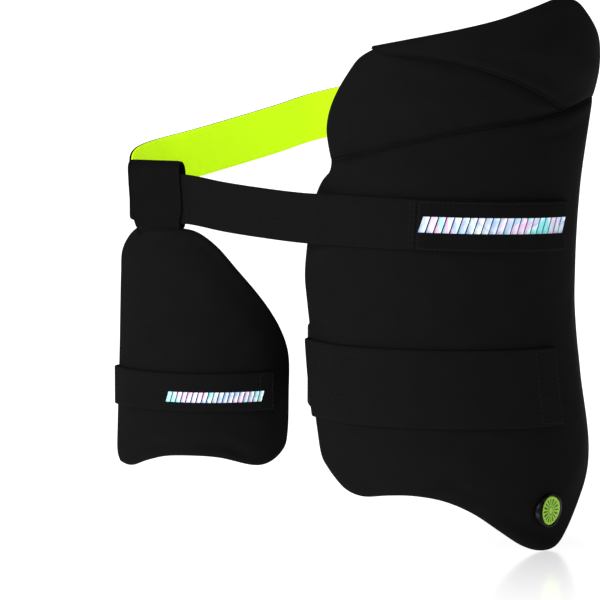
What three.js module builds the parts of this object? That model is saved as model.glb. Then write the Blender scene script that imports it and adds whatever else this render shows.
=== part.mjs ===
// A cricket thigh guard, in millimetres. +Z is up and the wearer's front faces -Y.
// The origin is the middle of the waist belt's loop, where the wearer's waist goes.
import * as THREE from "three";

// Outer thigh pad
const padWidth = 272; // along the lining, round the thigh
const padHeight = 450;
const padBottom = -302;
const padRim = 15; // thickness at the rounded rim
const padCrown = 4.5; // how much the foam swells above its rim
const padShoulder = 38; // how far from the rim the swelling runs
const thighRadius = 110; // the lining's radius round the thigh
const thighX = 56;
const thighY = -12;
const creaseGap = 0.4;

// Inner thigh pad
const innerWidth = 150;
const innerHeight = 203;
const innerBottom = -249;
const innerRim = 10;
const innerCrown = 3;
const innerShoulder = 26;
const innerRadius = 86;
const innerX = -123.7;
const innerY = 55;

// Straps
const clearance = 0.3; // between pieces that touch
const foamClearance = 0.5; // between a strap and the foam that it lies on
const beltWidth = 41;
const beltThickness = 1.4;
const liningWidth = 40;
const liningThickness = 1;
const tabThickness = 2.6;
const thighStrapWidth = 64;
const thighStrapThickness = 2.2;
const innerStrapWidth = 32;
const innerStrapThickness = 1.8;
const sewnLap = 20; // length of a strap's sewn end on the lining

// Hanger loop of the inner pad
const loopWidth = 44.6; // along the belt, at the top fold
const loopNeckWidth = 38.5; // where it is sewn to the pad
const loopHeight = 53;
const loopGap = 11; // between its front and rear layers
const loopThickness = 1.6;
const loopYaw = 17; // degrees that it turns towards the wearer's right
const loopLean = -3.5; // how far the top fold stands beside the neck
const loopSkew = 2; // how far its rear layer is shifted from its front one

// Round vent low on the outer pad
const ventRadius = 13.7;
const ventDiscRadius = 11.6;
const ventRise = 1.9;
const ventBevel = 0.7;
const ventSides = 28;
const ventTurn = 12; // degrees that it faces further round the thigh than the pad does
const ventThinnest = 0.4;
const ventAcross = 0.29; // share of the pad's width from its front line
const ventUp = 0.076; // share of the pad's height

// Widening and sideways shift of the thigh's form up the outer pad, as shares of the thigh's radius
const thighForm = [
  { up: 0, widen: 1.0, shift: 0.12 },
  { up: 0.16, widen: 1.003, shift: 0.119 },
  { up: 0.3, widen: 1.0, shift: 0.052 },
  { up: 0.45, widen: 0.995, shift: 0.013 },
  { up: 0.63, widen: 1.0, shift: 0.034 },
  { up: 0.8, widen: 1.03, shift: 0.087 },
  { up: 0.88, widen: 1.05, shift: 0.119 },
  { up: 1.0, widen: 1.04, shift: 0.133 },
];
const straightForm = [
  { up: 0, widen: 1, shift: 0 },
  { up: 1, widen: 1, shift: 0 },
];

// Outline of the outer pad: across is a share of its width from the front line, up a share of its height
const lowerCrease = [
  { across: -0.3135, up: 0.7065 },
  { across: -0.2535, up: 0.7175 },
  { across: -0.144, up: 0.739 },
  { across: -0.03, up: 0.758 },
  { across: 0.08, up: 0.773 },
  { across: 0.203, up: 0.783 },
  { across: 0.358, up: 0.795 },
  { across: 0.486, up: 0.806 },
  { across: 0.585, up: 0.812 },
];
const upperCrease = [
  { across: -0.204, up: 0.913 },
  { across: -0.139, up: 0.909 },
  { across: -0.052, up: 0.9 },
  { across: 0.062, up: 0.882 },
  { across: 0.189, up: 0.852 },
  { across: 0.3, up: 0.819 },
  { across: 0.372, up: 0.796 },
];
const creaseJoin = 0.372; // where the upper crease runs into the lower one
const lobeTip = 0.345; // where the middle lobe ends, short of that join
const lobeLeft = [
  { across: -0.3135, up: 0.7065 },
  { across: -0.332, up: 0.745 },
  { across: -0.338, up: 0.767 },
  { across: -0.33, up: 0.8 },
  { across: -0.306, up: 0.836 },
  { across: -0.271, up: 0.873 },
  { across: -0.243, up: 0.897 },
  { across: -0.204, up: 0.913 },
];
const flapTop = [
  { across: -0.206, up: 0.918 },
  { across: -0.077, up: 0.936 },
  { across: 0.025, up: 0.95 },
  { across: 0.131, up: 0.966 },
  { across: 0.249, up: 0.988 },
  { across: 0.33, up: 1.0 },
  { across: 0.4, up: 0.994 },
  { across: 0.47, up: 0.966 },
];
const flapRight = [
  { across: 0.585, up: 0.812 },
  { across: 0.6, up: 0.85 },
  { across: 0.587, up: 0.896 },
  { across: 0.545, up: 0.932 },
  { across: 0.47, up: 0.966 },
];
const panelLeft = [
  { across: -0.35, up: 0.136 },
  { across: -0.387, up: 0.163 },
  { across: -0.397, up: 0.22 },
  { across: -0.392, up: 0.304 },
  { across: -0.388, up: 0.396 },
  { across: -0.397, up: 0.45 },
  { across: -0.407, up: 0.495 },
  { across: -0.402, up: 0.541 },
  { across: -0.388, up: 0.597 },
  { across: -0.37, up: 0.643 },
  { across: -0.343, up: 0.675 },
  { across: -0.3185, up: 0.691 },
  { across: -0.3135, up: 0.7065 },
];
const panelBottom = [
  { across: -0.35, up: 0.136 },
  { across: -0.296, up: 0.11 },
  { across: -0.241, up: 0.101 },
  { across: -0.162, up: 0.107 },
  { across: -0.0915, up: 0.109 },
  { across: -0.009, up: 0.101 },
  { across: 0.073, up: 0.078 },
  { across: 0.159, up: 0.04 },
  { across: 0.225, up: 0.012 },
  { across: 0.279, up: -0.0015 },
  { across: 0.311, up: -0.0045 },
  { across: 0.341, up: -0.003 },
  { across: 0.372, up: 0.0065 },
  { across: 0.408, up: 0.0298 },
  { across: 0.444, up: 0.0562 },
  { across: 0.476, up: 0.0778 },
];
const panelRight = [
  { across: 0.476, up: 0.0778 },
  { across: 0.516, up: 0.101 },
  { across: 0.554, up: 0.129 },
  { across: 0.578, up: 0.163 },
  { across: 0.592, up: 0.22 },
  { across: 0.59, up: 0.45 },
  { across: 0.582, up: 0.7 },
  { across: 0.585, up: 0.812 },
];

// Outline of the inner pad, in the same shares of its own width and height
const innerLeft = [
  { across: -0.533, up: 0.006 },
  { across: -0.562, up: 0.04 },
  { across: -0.562, up: 0.182 },
  { across: -0.54, up: 0.517 },
  { across: -0.522, up: 0.808 },
  { across: -0.512, up: 0.892 },
  { across: -0.455, up: 0.96 },
  { across: -0.391, up: 1.0 },
];
const innerFoot = [
  { across: -0.533, up: 0.006 },
  { across: -0.472, up: -0.002 },
  { across: -0.426, up: 0.0045 },
  { across: -0.382, up: 0.019 },
  { across: -0.329, up: 0.034 },
  { across: -0.229, up: 0.055 },
  { across: -0.07, up: 0.061 },
  { across: 0.057, up: 0.053 },
  { across: 0.165, up: 0.03 },
  { across: 0.22, up: 0.0185 },
  { across: 0.266, up: 0.014 },
  { across: 0.314, up: 0.019 },
  { across: 0.358, up: 0.034 },
  { across: 0.397, up: 0.055 },
];
const innerRight = [
  { across: 0.397, up: 0.055 },
  { across: 0.434, up: 0.087 },
  { across: 0.452, up: 0.15 },
  { across: 0.459, up: 0.3 },
  { across: 0.457, up: 0.4725 },
  { across: 0.409, up: 0.569 },
  { across: 0.334, up: 0.661 },
  { across: 0.249, up: 0.745 },
  { across: 0.152, up: 0.833 },
  { across: 0.06, up: 0.918 },
  { across: -0.012, up: 0.9665 },
  { across: -0.069, up: 0.991 },
  { across: -0.127, up: 1.0 },
];
const innerNeck = [
  { across: -0.391, up: 1.0 },
  { across: -0.26, up: 1.004 },
  { across: -0.127, up: 1.0 },
];

// Belt on the outer pad: height of its middle line as a share of the pad's height
const beltOnPad = [
  { across: -0.24, up: 0.607 },
  { across: -0.1, up: 0.606 },
  { across: 0.12, up: 0.6 },
  { across: 0.3, up: 0.593 },
  { across: 0.389, up: 0.5895 },
];
const beltSeam = -0.045; // where the tab starts
// Belt away from the pad, from its left side round the back: shares of the waist's half width, depth
// and tilt
const waistHalf = 185;
const waistDepth = 155;
const waistTilt = 30;
const beltFree = [
  { aside: -0.243, behind: -0.652, rise: -0.97 },
  { aside: -0.416, behind: -0.516, rise: -0.92 },
  { aside: -0.584, behind: -0.381, rise: -0.84 },
  { aside: -0.751, behind: -0.2355, rise: -0.72 },
  { aside: -0.876, behind: -0.181, rise: -0.7 },
  { aside: -0.972, behind: -0.145, rise: -0.67 },
  { aside: -1.002, behind: -0.11, rise: -0.6 },
  { aside: -1.009, behind: -0.058, rise: -0.44 },
  { aside: -0.995, behind: 0.0, rise: -0.22 },
  { aside: -0.958, behind: 0.084, rise: -0.05 },
  { aside: -0.89, behind: 0.21, rise: 0.04 },
  { aside: -0.751, behind: 0.352, rise: 0.2 },
  { aside: -0.557, behind: 0.555, rise: 0.45 },
  { aside: -0.367, behind: 0.735, rise: 0.72 },
  { aside: -0.173, behind: 0.9, rise: 1.03 },
  { aside: 0.108, behind: 1.0, rise: 1.3 },
  { aside: 0.46, behind: 0.93, rise: 1.17 },
  { aside: 0.76, behind: 0.7, rise: 0.9 },
  { aside: 0.93, behind: 0.4, rise: 0.6 },
  { aside: 0.955, behind: 0.08, rise: 0.4 },
];
const beltSewnUp = 0.675; // height of the sewn end, share of the pad's height

// Thigh strap: its height on the pad, and its hidden way round the thigh in shares of the thigh's radius
const thighStrapOnPad = [
  { across: -0.345, up: 0.311 },
  { across: 0.05, up: 0.3075 },
  { across: 0.355, up: 0.299 },
];
const thighStrapFree = [
  { aside: -0.9, behind: -0.25 },
  { aside: -0.91, behind: 0.12 },
  { aside: -0.82, behind: 0.45 },
  { aside: -0.57, behind: 0.75 },
  { aside: -0.2, behind: 0.9 },
  { aside: 0.22, behind: 0.9 },
  { aside: 0.62, behind: 0.74 },
  { aside: 0.89, behind: 0.42 },
  { aside: 0.965, behind: 0.12 },
];

// Inner strap, in the same way, on the inner pad
const innerStrapOnPad = [
  { across: -0.49, up: 0.333 },
  { across: 0.33, up: 0.33 },
];
const innerStrapFree = [
  { aside: -0.85, behind: -0.3 },
  { aside: -0.86, behind: 0.05 },
  { aside: -0.82, behind: 0.5 },
  { aside: -0.54, behind: 0.92 },
  { aside: -0.1, behind: 1.05 },
  { aside: 0.34, behind: 0.92 },
  { aside: 0.57, behind: 0.5 },
  { aside: 0.615, behind: 0.0 },
  { aside: 0.63, behind: -0.4 },
];

// Closed profile of the hanger loop: out is a share of half its gap, up a share of its height
const loopProfile = [
  { out: 0, up: 0 },
  { out: 0.7, up: 0.005 },
  { out: 1, up: 0.05 },
  { out: 1.02, up: 0.4 },
  { out: 1, up: 0.75 },
  { out: 0.8, up: 0.93 },
  { out: 0, up: 1 },
  { out: -0.8, up: 0.93 },
  { out: -1, up: 0.75 },
  { out: -1.02, up: 0.4 },
  { out: -1, up: 0.05 },
  { out: -0.7, up: 0.005 },
];

// Value of a column where another column has a given value, by a smooth curve through a table's rows.
function read(rows, key, at, column) {
  const last = rows.length - 1;
  let i = 0;
  while (i < last - 1 && at > rows[i + 1][key]) i += 1;
  const slope = (a, b) => (rows[b][column] - rows[a][column]) / (rows[b][key] - rows[a][key]);
  const span = rows[i + 1][key] - rows[i][key];
  const t = THREE.MathUtils.clamp((at - rows[i][key]) / span, 0, 1);
  const here = i > 0 ? slope(i - 1, i + 1) : slope(i, i + 1);
  const next = i < last - 1 ? slope(i, i + 2) : slope(i, i + 1);
  const a = 2 * t ** 3 - 3 * t ** 2 + 1;
  const b = t ** 3 - 2 * t ** 2 + t;
  const c = t ** 3 - t ** 2;
  return a * rows[i][column] + (1 - a) * rows[i + 1][column] + (b * here + c * next) * span;
}

// Place of a flat point of a pad: x runs along the lining from the front line, z is the height,
// and lift is the distance out from the lining.
function placeOn(form, x, z, lift) {
  const up = (z - form.bottom) / form.height;
  const radius = form.radius * read(form.rows, "up", up, "widen") + lift;
  const turn = x / form.radius;
  const centre = form.x + form.radius * read(form.rows, "up", up, "shift");
  return new THREE.Vector3(centre + radius * Math.sin(turn), form.y - radius * Math.cos(turn), z);
}

const outerForm = {
  x: thighX,
  y: thighY,
  radius: thighRadius,
  width: padWidth,
  height: padHeight,
  bottom: padBottom,
  rim: padRim,
  crown: padCrown,
  shoulder: padShoulder,
  rows: thighForm,
};
const innerForm = {
  x: innerX,
  y: innerY,
  radius: innerRadius,
  width: innerWidth,
  height: innerHeight,
  bottom: innerBottom,
  rim: innerRim,
  crown: innerCrown,
  shoulder: innerShoulder,
  rows: straightForm,
};

const sideSteps = 40; // points along each side of an outline
const faceSteps = 22; // steps of a strap on a pad's face
const freeSteps = 3; // steps between the rows of its free stretch

// Flat points of an outline's side, evenly spaced on a curve through its rows.
function side(form, rows) {
  const knots = rows.map(
    (row) => new THREE.Vector3(row.across * form.width, form.bottom + row.up * form.height, 0),
  );
  const points = new THREE.CatmullRomCurve3(knots, false, "centripetal").getSpacedPoints(sideSteps);
  return points.map((p) => new THREE.Vector2(p.x, p.y));
}

// Flat points along a crease between two shares of the width, raised or lowered by half the gap.
function creaseSide(form, rows, from, to, rise) {
  return Array.from({ length: sideSteps + 1 }, (_, i) => {
    const across = from + ((to - from) * i) / sideSteps;
    const up = read(rows, "across", across, "up");
    return new THREE.Vector2(across * form.width, form.bottom + up * form.height + rise);
  });
}

// A side whose two ends are moved onto given corners, with the shift fading along it.
function fitEnds(points, start, end) {
  const first = start.clone().sub(points[0]);
  const last = end.clone().sub(points[points.length - 1]);
  return points.map((p, i) => {
    const t = i / (points.length - 1);
    return p.clone().addScaledVector(first, 1 - t).addScaledVector(last, t);
  });
}

// Point at a share of a side's points.
function along(points, share) {
  const at = share * (points.length - 1);
  const i = Math.min(Math.floor(at), points.length - 2);
  return points[i].clone().lerp(points[i + 1], at - i);
}

// Distance from a flat point to an outline.
function distanceTo(outline, point) {
  let least = Infinity;
  outline.forEach((a, i) => {
    const b = outline[(i + 1) % outline.length];
    const run = b.clone().sub(a);
    const reach = point.clone().sub(a);
    const t = THREE.MathUtils.clamp(reach.dot(run) / Math.max(run.lengthSq(), 1e-9), 0, 1);
    least = Math.min(least, reach.addScaledVector(run, -t).length());
  });
  return least;
}

// Foam outline with four sides: foot and head run to the right, left and right run up.
function foamShape(form, foot, right, head, left) {
  const outline = [
    ...foot,
    ...right.slice(1),
    ...[...head].reverse().slice(1),
    ...[...left].reverse().slice(1, -1),
  ];
  return { form, foot, right, head, left, outline };
}

// Height of the foam's face over the lining: a round rim, then a soft swelling.
function faceLift(shape, point) {
  const { rim, crown, shoulder } = shape.form;
  const depth = distanceTo(shape.outline, point);
  const round = Math.sqrt(1 - (1 - Math.min((2 * depth) / rim, 1)) ** 2);
  return rim / 2 + (rim / 2) * round + crown * THREE.MathUtils.smoothstep(depth, 0, shoulder);
}
function liningLift(shape, point) {
  const { rim } = shape.form;
  const depth = distanceTo(shape.outline, point);
  return (rim / 2) * (1 - Math.sqrt(1 - (1 - Math.min((2 * depth) / rim, 1)) ** 2));
}

// Steps from 0 to 1 that are closer together at both ends.
function easedSteps(count) {
  return Array.from({ length: count + 1 }, (_, i) => {
    const s = i / count;
    return 0.4 * s + 0.6 * (0.5 - 0.5 * Math.cos(Math.PI * s));
  });
}

// Grid of flat points that fills the four sides of a foam shape.
function flatGrid(shape, columns, rows) {
  const { foot, right, head, left } = shape;
  const corner = [foot[0], foot[foot.length - 1], head[0], head[head.length - 1]];
  return easedSteps(columns).map((u) =>
    easedSteps(rows).map((v) => {
      const point = new THREE.Vector2();
      point.addScaledVector(along(foot, u), 1 - v).addScaledVector(along(head, u), v);
      point.addScaledVector(along(left, v), 1 - u).addScaledVector(along(right, v), u);
      point.addScaledVector(corner[0], -(1 - u) * (1 - v)).addScaledVector(corner[1], -u * (1 - v));
      return point.addScaledVector(corner[2], -(1 - u) * v).addScaledVector(corner[3], -u * v);
    }),
  );
}

// Closed solid between two grids of the same size. A looped one joins its last column to its first.
function closedSolid(front, back, looped) {
  const corners = [];
  const triangle = (a, b, c) => {
    if (a.distanceTo(b) < 1e-5 || b.distanceTo(c) < 1e-5 || c.distanceTo(a) < 1e-5) return;
    corners.push(a, b, c);
  };
  const quad = (a, b, c, d) => {
    triangle(a, b, c);
    triangle(a, c, d);
  };
  const columns = front.length;
  const last = front[0].length - 1;
  const steps = looped ? columns : columns - 1;
  for (let i = 0; i < steps; i += 1) {
    const n = (i + 1) % columns;
    for (let j = 0; j < last; j += 1) {
      quad(front[i][j], front[n][j], front[n][j + 1], front[i][j + 1]);
      quad(back[i][j], back[i][j + 1], back[n][j + 1], back[n][j]);
    }
    quad(back[i][0], back[n][0], front[n][0], front[i][0]);
    quad(front[i][last], front[n][last], back[n][last], back[i][last]);
  }
  if (!looped) {
    const end = columns - 1;
    for (let j = 0; j < last; j += 1) {
      quad(back[0][j], front[0][j], front[0][j + 1], back[0][j + 1]);
      quad(front[end][j], back[end][j], back[end][j + 1], front[end][j + 1]);
    }
  }
  return new THREE.BufferGeometry().setFromPoints(corners);
}

// Foam pad between its lining and its swelling face.
function foamSolid(shape, columns, rows) {
  const grid = flatGrid(shape, columns, rows);
  const rim = (i, j) => i === 0 || j === 0 || i === columns || j === rows;
  const mid = shape.form.rim / 2;
  const face = grid.map((line, i) =>
    line.map((p, j) => placeOn(shape.form, p.x, p.y, rim(i, j) ? mid : faceLift(shape, p))),
  );
  const lining = grid.map((line, i) =>
    line.map((p, j) => placeOn(shape.form, p.x, p.y, rim(i, j) ? mid : liningLift(shape, p))),
  );
  return closedSolid(face, lining, false);
}

// Outermost reach of a pad's left or right side within half a strap's width of a height.
function sideReach(shape, z, half, onLeft) {
  const line = onLeft ? shape.left : shape.right;
  const near = line.filter((p) => Math.abs(p.y - z) < half).map((p) => p.x);
  return onLeft ? Math.min(...near) : Math.max(...near);
}

// Three guide points across a strap that lies on a pad's face, at a flat x and a middle height.
function guidesOn(shape, x, z, width, lift) {
  return [-0.5, 0, 0.5].map((v) => placeOn(shape.form, x, z + v * width, lift));
}

// Highest face under a strap's width, with the clearance that keeps the strap off it.
function liftUnder(shape, x, z, width) {
  const heights = [-0.5, -0.25, 0, 0.25, 0.5].map((v) =>
    faceLift(shape, new THREE.Vector2(x, z + v * width)),
  );
  return Math.max(...heights) + foamClearance;
}

// Guides of a strap on a pad's face, from its free end on the right to the table's first row on the left.
function faceGuides(shape, table, width) {
  const { form } = shape;
  const start = table.at(-1).across;
  const end = table[0].across;
  return Array.from({ length: faceSteps + 1 }, (_, i) => {
    const across = start + ((end - start) * i) / faceSteps;
    const z = form.bottom + form.height * read(table, "across", across, "up");
    const x = across * form.width;
    return guidesOn(shape, x, z, width, liftUnder(shape, x, z, width));
  });
}

// Guides that carry a strap round the rounded left rim of a pad, from its face to its lining.
function rimGuides(shape, z, width) {
  const { form } = shape;
  const half = form.rim / 2;
  const middle = sideReach(shape, z, width / 2, true) + half;
  const reach = half + foamClearance;
  return [5, 25, 50, 80, 110, 140].map((degrees) => {
    const angle = THREE.MathUtils.degToRad(degrees);
    const x = middle - reach * Math.sin(angle);
    const lift = half + reach * Math.cos(angle);
    return guidesOn(shape, x, z, width, degrees > 30 ? lift : Math.max(lift, liftUnder(shape, x, z, width)));
  });
}

// Guides of a strap's sewn end, which laps the pad's lining at its right side.
function sewnGuides(shape, z, width, thickness) {
  const { form } = shape;
  const edge = sideReach(shape, z, width / 2, false) - form.rim / 4;
  return [0, 0.5, 1].map((share) =>
    guidesOn(shape, edge - share * sewnLap, z, width, -clearance - thickness),
  );
}

// Guides on a free stretch, given by its plan points and heights. Where it climbs, it is taller upright,
// so that it keeps its width across the climb.
function freeGuides(points, width) {
  return points.map((p, i) => {
    const before = points[Math.max(i - 1, 0)];
    const run = points[Math.min(i + 1, points.length - 1)].clone().sub(before);
    const tall = (width * run.length()) / Math.hypot(run.x, run.y);
    return [-0.5, 0, 0.5].map((v) => new THREE.Vector3(p.x, p.y, p.z + v * tall));
  });
}

// Surface through guides: each of the three guide lines becomes a curve, sampled between its knots.
function throughGuides(guides, between, looped) {
  const curves = [0, 1, 2].map(
    (k) => new THREE.CatmullRomCurve3(guides.map((g) => g[k]), looped, "centripetal"),
  );
  const spans = looped ? guides.length : guides.length - 1;
  const shares = [];
  for (let i = 0; i < spans; i += 1) {
    for (let s = 0; s < between[i]; s += 1) shares.push((i + s / between[i]) / spans);
  }
  if (!looped) shares.push(1);
  return shares.map((t) => curves.map((curve) => curve.getPoint(t)));
}

// Strap between two offsets from its guiding surface, measured away from the loop's inside.
function strapSolid(surface, inner, outer, widthShare, looped) {
  const count = surface.length;
  const offset = (distance) =>
    surface.map((line, i) => {
      const before = surface[looped ? (i + count - 1) % count : Math.max(i - 1, 0)];
      const after = surface[looped ? (i + 1) % count : Math.min(i + 1, count - 1)];
      return line.map((p, k) => {
        const run = after[k].clone().sub(before[k]);
        const rise = line[2].clone().sub(line[0]);
        const out = rise.cross(run).normalize();
        const spread = p.clone().sub(line[1]).multiplyScalar(widthShare);
        return line[1].clone().add(spread).addScaledVector(out, distance);
      });
    });
  return closedSolid(offset(inner), offset(outer), looped);
}

// Number of steps after each guide: one on a pad, more on the free stretch.
function stepCounts(onPad, free, sewn) {
  return [...Array(onPad).fill(1), ...Array(free).fill(freeSteps), ...Array(sewn).fill(1)];
}

function meshOf(name, geometry, color, roughness) {
  const material = new THREE.MeshStandardMaterial({ color, roughness, metalness: 0 });
  const mesh = new THREE.Mesh(geometry, material);
  mesh.name = name;
  return mesh;
}

const fabricColor = 0x151517;
const elasticColor = 0x101012;
const brightColor = 0xb9f212;

// The three foam pieces of the outer pad
const creaseHalf = creaseGap / 2;
const creaseLeft = lowerCrease[0].across;
const creaseRight = lowerCrease.at(-1).across;
const flapTip = upperCrease[0].across;

// Foam shape from a foot and a head, with right and left sides fitted to their ends
function fittedShape(form, foot, right, head, left) {
  return foamShape(
    form,
    foot,
    fitEnds(right, foot.at(-1), head.at(-1)),
    head,
    fitEnds(left, foot[0], head[0]),
  );
}
const panelShape = fittedShape(
  outerForm,
  side(outerForm, panelBottom),
  side(outerForm, panelRight),
  creaseSide(outerForm, lowerCrease, creaseLeft, creaseRight, -creaseHalf),
  side(outerForm, panelLeft),
);
const lobeFoot = creaseSide(outerForm, lowerCrease, creaseLeft, lobeTip, creaseHalf);
const lobeShape = fittedShape(
  outerForm,
  lobeFoot,
  lobeFoot.map(() => lobeFoot.at(-1)),
  creaseSide(outerForm, upperCrease, flapTip, lobeTip, -creaseHalf),
  side(outerForm, lobeLeft),
);
const flapFoot = [
  ...creaseSide(outerForm, upperCrease, flapTip, creaseJoin, creaseHalf),
  ...creaseSide(outerForm, lowerCrease, creaseJoin, creaseRight, creaseHalf).slice(1),
];
const flapShape = fittedShape(
  outerForm,
  flapFoot,
  side(outerForm, flapRight),
  side(outerForm, flapTop),
  flapFoot.map(() => flapFoot[0]),
);
const innerShape = fittedShape(
  innerForm,
  side(innerForm, innerFoot),
  side(innerForm, innerRight),
  side(innerForm, innerNeck),
  side(innerForm, innerLeft),
);

// Waist belt: a bright lining, a black face outside it, and the tab that goes on over the lining
function beltSurface() {
  const face = faceGuides(panelShape, beltOnPad, beltWidth);
  const free = freeGuides(
    beltFree.map(
      (row) => new THREE.Vector3(row.aside * waistHalf, row.behind * waistDepth, row.rise * waistTilt),
    ),
    beltWidth,
  );
  const z = padBottom + beltSewnUp * padHeight;
  const total = liningThickness + clearance + beltThickness;
  const sewn = sewnGuides(panelShape, z, beltWidth, total);
  const guides = [...face, ...free, ...sewn];
  return throughGuides(guides, stepCounts(faceSteps, free.length, sewn.length), false);
}
const belt = beltSurface();
const beltEnd = beltOnPad.at(-1).across;
const seam = Math.round((faceSteps * (beltEnd - beltSeam)) / (beltEnd - beltOnPad[0].across));
const beltBase = liningThickness + clearance;
const beltLining = strapSolid(belt, 0, liningThickness, liningWidth / beltWidth, false);
const beltFace = strapSolid(belt.slice(seam), beltBase, beltBase + beltThickness, 1, false);

// The tab starts a clearance short of the belt's face.
function tabSurface() {
  const guides = belt.slice(0, seam + 1);
  const end = guides[seam].map((p, k) => {
    const back = guides[seam - 1][k].clone().sub(p);
    return p.clone().addScaledVector(back.normalize(), clearance);
  });
  return [...guides.slice(0, seam), end];
}
const tabFace = strapSolid(tabSurface(), beltBase, beltBase + tabThickness, 1, false);

// A strap that starts on a pad's face, goes round its left rim, round the limb and back to its lining
function limbStrap(shape, table, freeTable, width, thickness) {
  const { form } = shape;
  const face = faceGuides(shape, table, width);
  const z = form.bottom + form.height * table[0].up;
  const rim = rimGuides(shape, z, width);
  const free = freeGuides(
    freeTable.map((row) => {
      const shift = read(form.rows, "up", (z - form.bottom) / form.height, "shift");
      const x = form.x + form.radius * (shift + row.aside);
      return new THREE.Vector3(x, form.y + form.radius * row.behind, z);
    }),
    width,
  );
  const sewn = sewnGuides(shape, z, width, thickness);
  const guides = [...face, ...rim, ...free, ...sewn];
  const steps = stepCounts(faceSteps + rim.length, free.length, sewn.length);
  return strapSolid(throughGuides(guides, steps, false), 0, thickness, 1, false);
}
const thighStrap = limbStrap(
  panelShape,
  thighStrapOnPad,
  thighStrapFree,
  thighStrapWidth,
  thighStrapThickness,
);
const innerStrap = limbStrap(
  innerShape,
  innerStrapOnPad,
  innerStrapFree,
  innerStrapWidth,
  innerStrapThickness,
);

// Hanger loop: a closed profile carried along the belt's way through it, standing on the pad's neck
function hangerSolid() {
  const middle = (innerNeck[0].across + innerNeck.at(-1).across) / 2;
  const top = innerBottom + innerNeck[1].up * innerHeight;
  const neck = placeOn(innerForm, middle * innerWidth, top, innerRim / 2);
  const yaw = THREE.MathUtils.degToRad(loopYaw);
  const beside = new THREE.Vector3(Math.cos(yaw), -Math.sin(yaw), 0);
  const outward = new THREE.Vector3(-Math.sin(yaw), -Math.cos(yaw), 0);
  const foot = neck.z + clearance + loopThickness / 2;
  const knots = loopProfile.map(
    (row) => new THREE.Vector3((row.out * loopGap) / 2, foot + row.up * loopHeight, 0),
  );
  const curve = new THREE.CatmullRomCurve3(knots, true, "centripetal");
  const surface = curve.getSpacedPoints(36).slice(0, -1).map((p) => {
    const up = (p.y - foot) / loopHeight;
    const width = loopNeckWidth + (loopWidth - loopNeckWidth) * up;
    return [-0.5, 0, 0.5].map((v) => {
      const place = new THREE.Vector3(neck.x, neck.y, p.y);
      const shift = loopLean * up - (loopSkew * p.x) / loopGap;
      return place.addScaledVector(outward, p.x).addScaledVector(beside, shift + v * width);
    });
  });
  return { surface, beside };
}

// The hanger's layers, offset to both sides of its profile.
function hangerGeometry() {
  const { surface, beside } = hangerSolid();
  const count = surface.length;
  const offset = (distance) =>
    surface.map((line, i) => {
      const run = surface[(i + 1) % count][1].clone().sub(surface[(i + count - 1) % count][1]);
      const out = beside.clone().cross(run).normalize();
      return line.map((p) => p.clone().addScaledVector(out, distance));
    });
  return closedSolid(offset(-loopThickness / 2), offset(loopThickness / 2), true);
}

// Round piece on the pad: its back follows the face, and its front lies in the plane that the vent faces.
// The profile gives distances from its middle and heights over that plane.
function roundOnFace(shape, profile, sides) {
  const { form } = shape;
  const x = ventAcross * form.width;
  const z = form.bottom + ventUp * form.height;
  const turn = x / form.radius + THREE.MathUtils.degToRad(ventTurn);
  const beside = new THREE.Vector3(Math.cos(turn), Math.sin(turn), 0);
  const outward = new THREE.Vector3(Math.sin(turn), -Math.cos(turn), 0);
  const middle = placeOn(form, x, z, faceLift(shape, new THREE.Vector2(x, z)));
  const rings = Array.from({ length: sides }, (_, i) => {
    const angle = (2 * Math.PI * i) / sides;
    return profile.map((row) => {
      const right = row.out * Math.cos(angle);
      const rise = row.out * Math.sin(angle);
      const flat = new THREE.Vector2(x + right, z + rise);
      const back = placeOn(form, flat.x, flat.y, faceLift(shape, flat) + clearance);
      const front = middle.clone().addScaledVector(beside, right).addScaledVector(outward, row.top);
      front.z += rise;
      const thickness = front.clone().sub(back).dot(outward);
      return { back, front: front.addScaledVector(outward, Math.max(ventThinnest - thickness, 0)) };
    });
  });
  return closedSolid(
    rings.map((ring) => ring.map((p) => p.back)),
    rings.map((ring) => ring.map((p) => p.front)),
    true,
  );
}
const ventRing = roundOnFace(
  panelShape,
  [
    { out: ventDiscRadius + clearance, top: ventRise * 0.7 },
    { out: ventDiscRadius + clearance + ventBevel, top: ventRise },
    { out: ventRadius - ventBevel, top: ventRise },
    { out: ventRadius, top: ventRise * 0.45 },
  ],
  ventSides,
);
const ventDisc = roundOnFace(
  panelShape,
  [
    { out: 0, top: ventRise * 0.85 },
    { out: ventDiscRadius * 0.7, top: ventRise * 0.75 },
    { out: ventDiscRadius, top: ventRise * 0.45 },
  ],
  ventSides,
);

const guard = new THREE.Group();
guard.add(
  meshOf("main_panel", foamSolid(panelShape, 26, 30), fabricColor, 0.85),
  meshOf("upper_panel", foamSolid(lobeShape, 22, 10), fabricColor, 0.85),
  meshOf("hip_flap", foamSolid(flapShape, 22, 10), fabricColor, 0.85),
  meshOf("inner_pad", foamSolid(innerShape, 18, 20), fabricColor, 0.85),
  meshOf("waist_belt", beltFace, elasticColor, 0.8),
  meshOf("belt_lining", beltLining, brightColor, 0.75),
  meshOf("belt_tab", tabFace, elasticColor, 0.85),
  meshOf("thigh_strap", thighStrap, elasticColor, 0.8),
  meshOf("inner_strap", innerStrap, elasticColor, 0.8),
  meshOf("inner_pad_loop", hangerGeometry(), elasticColor, 0.85),
  meshOf("vent_ring", ventRing, elasticColor, 0.45),
  meshOf("vent_disc", ventDisc, brightColor, 0.5),
);

export default guard;
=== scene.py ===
"""Cricket thigh guard: two foam thigh pads on a waist belt, dressed in stretch cover and woven elastic."""

import bmesh
import bpy
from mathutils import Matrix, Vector
import numpy as np


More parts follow.
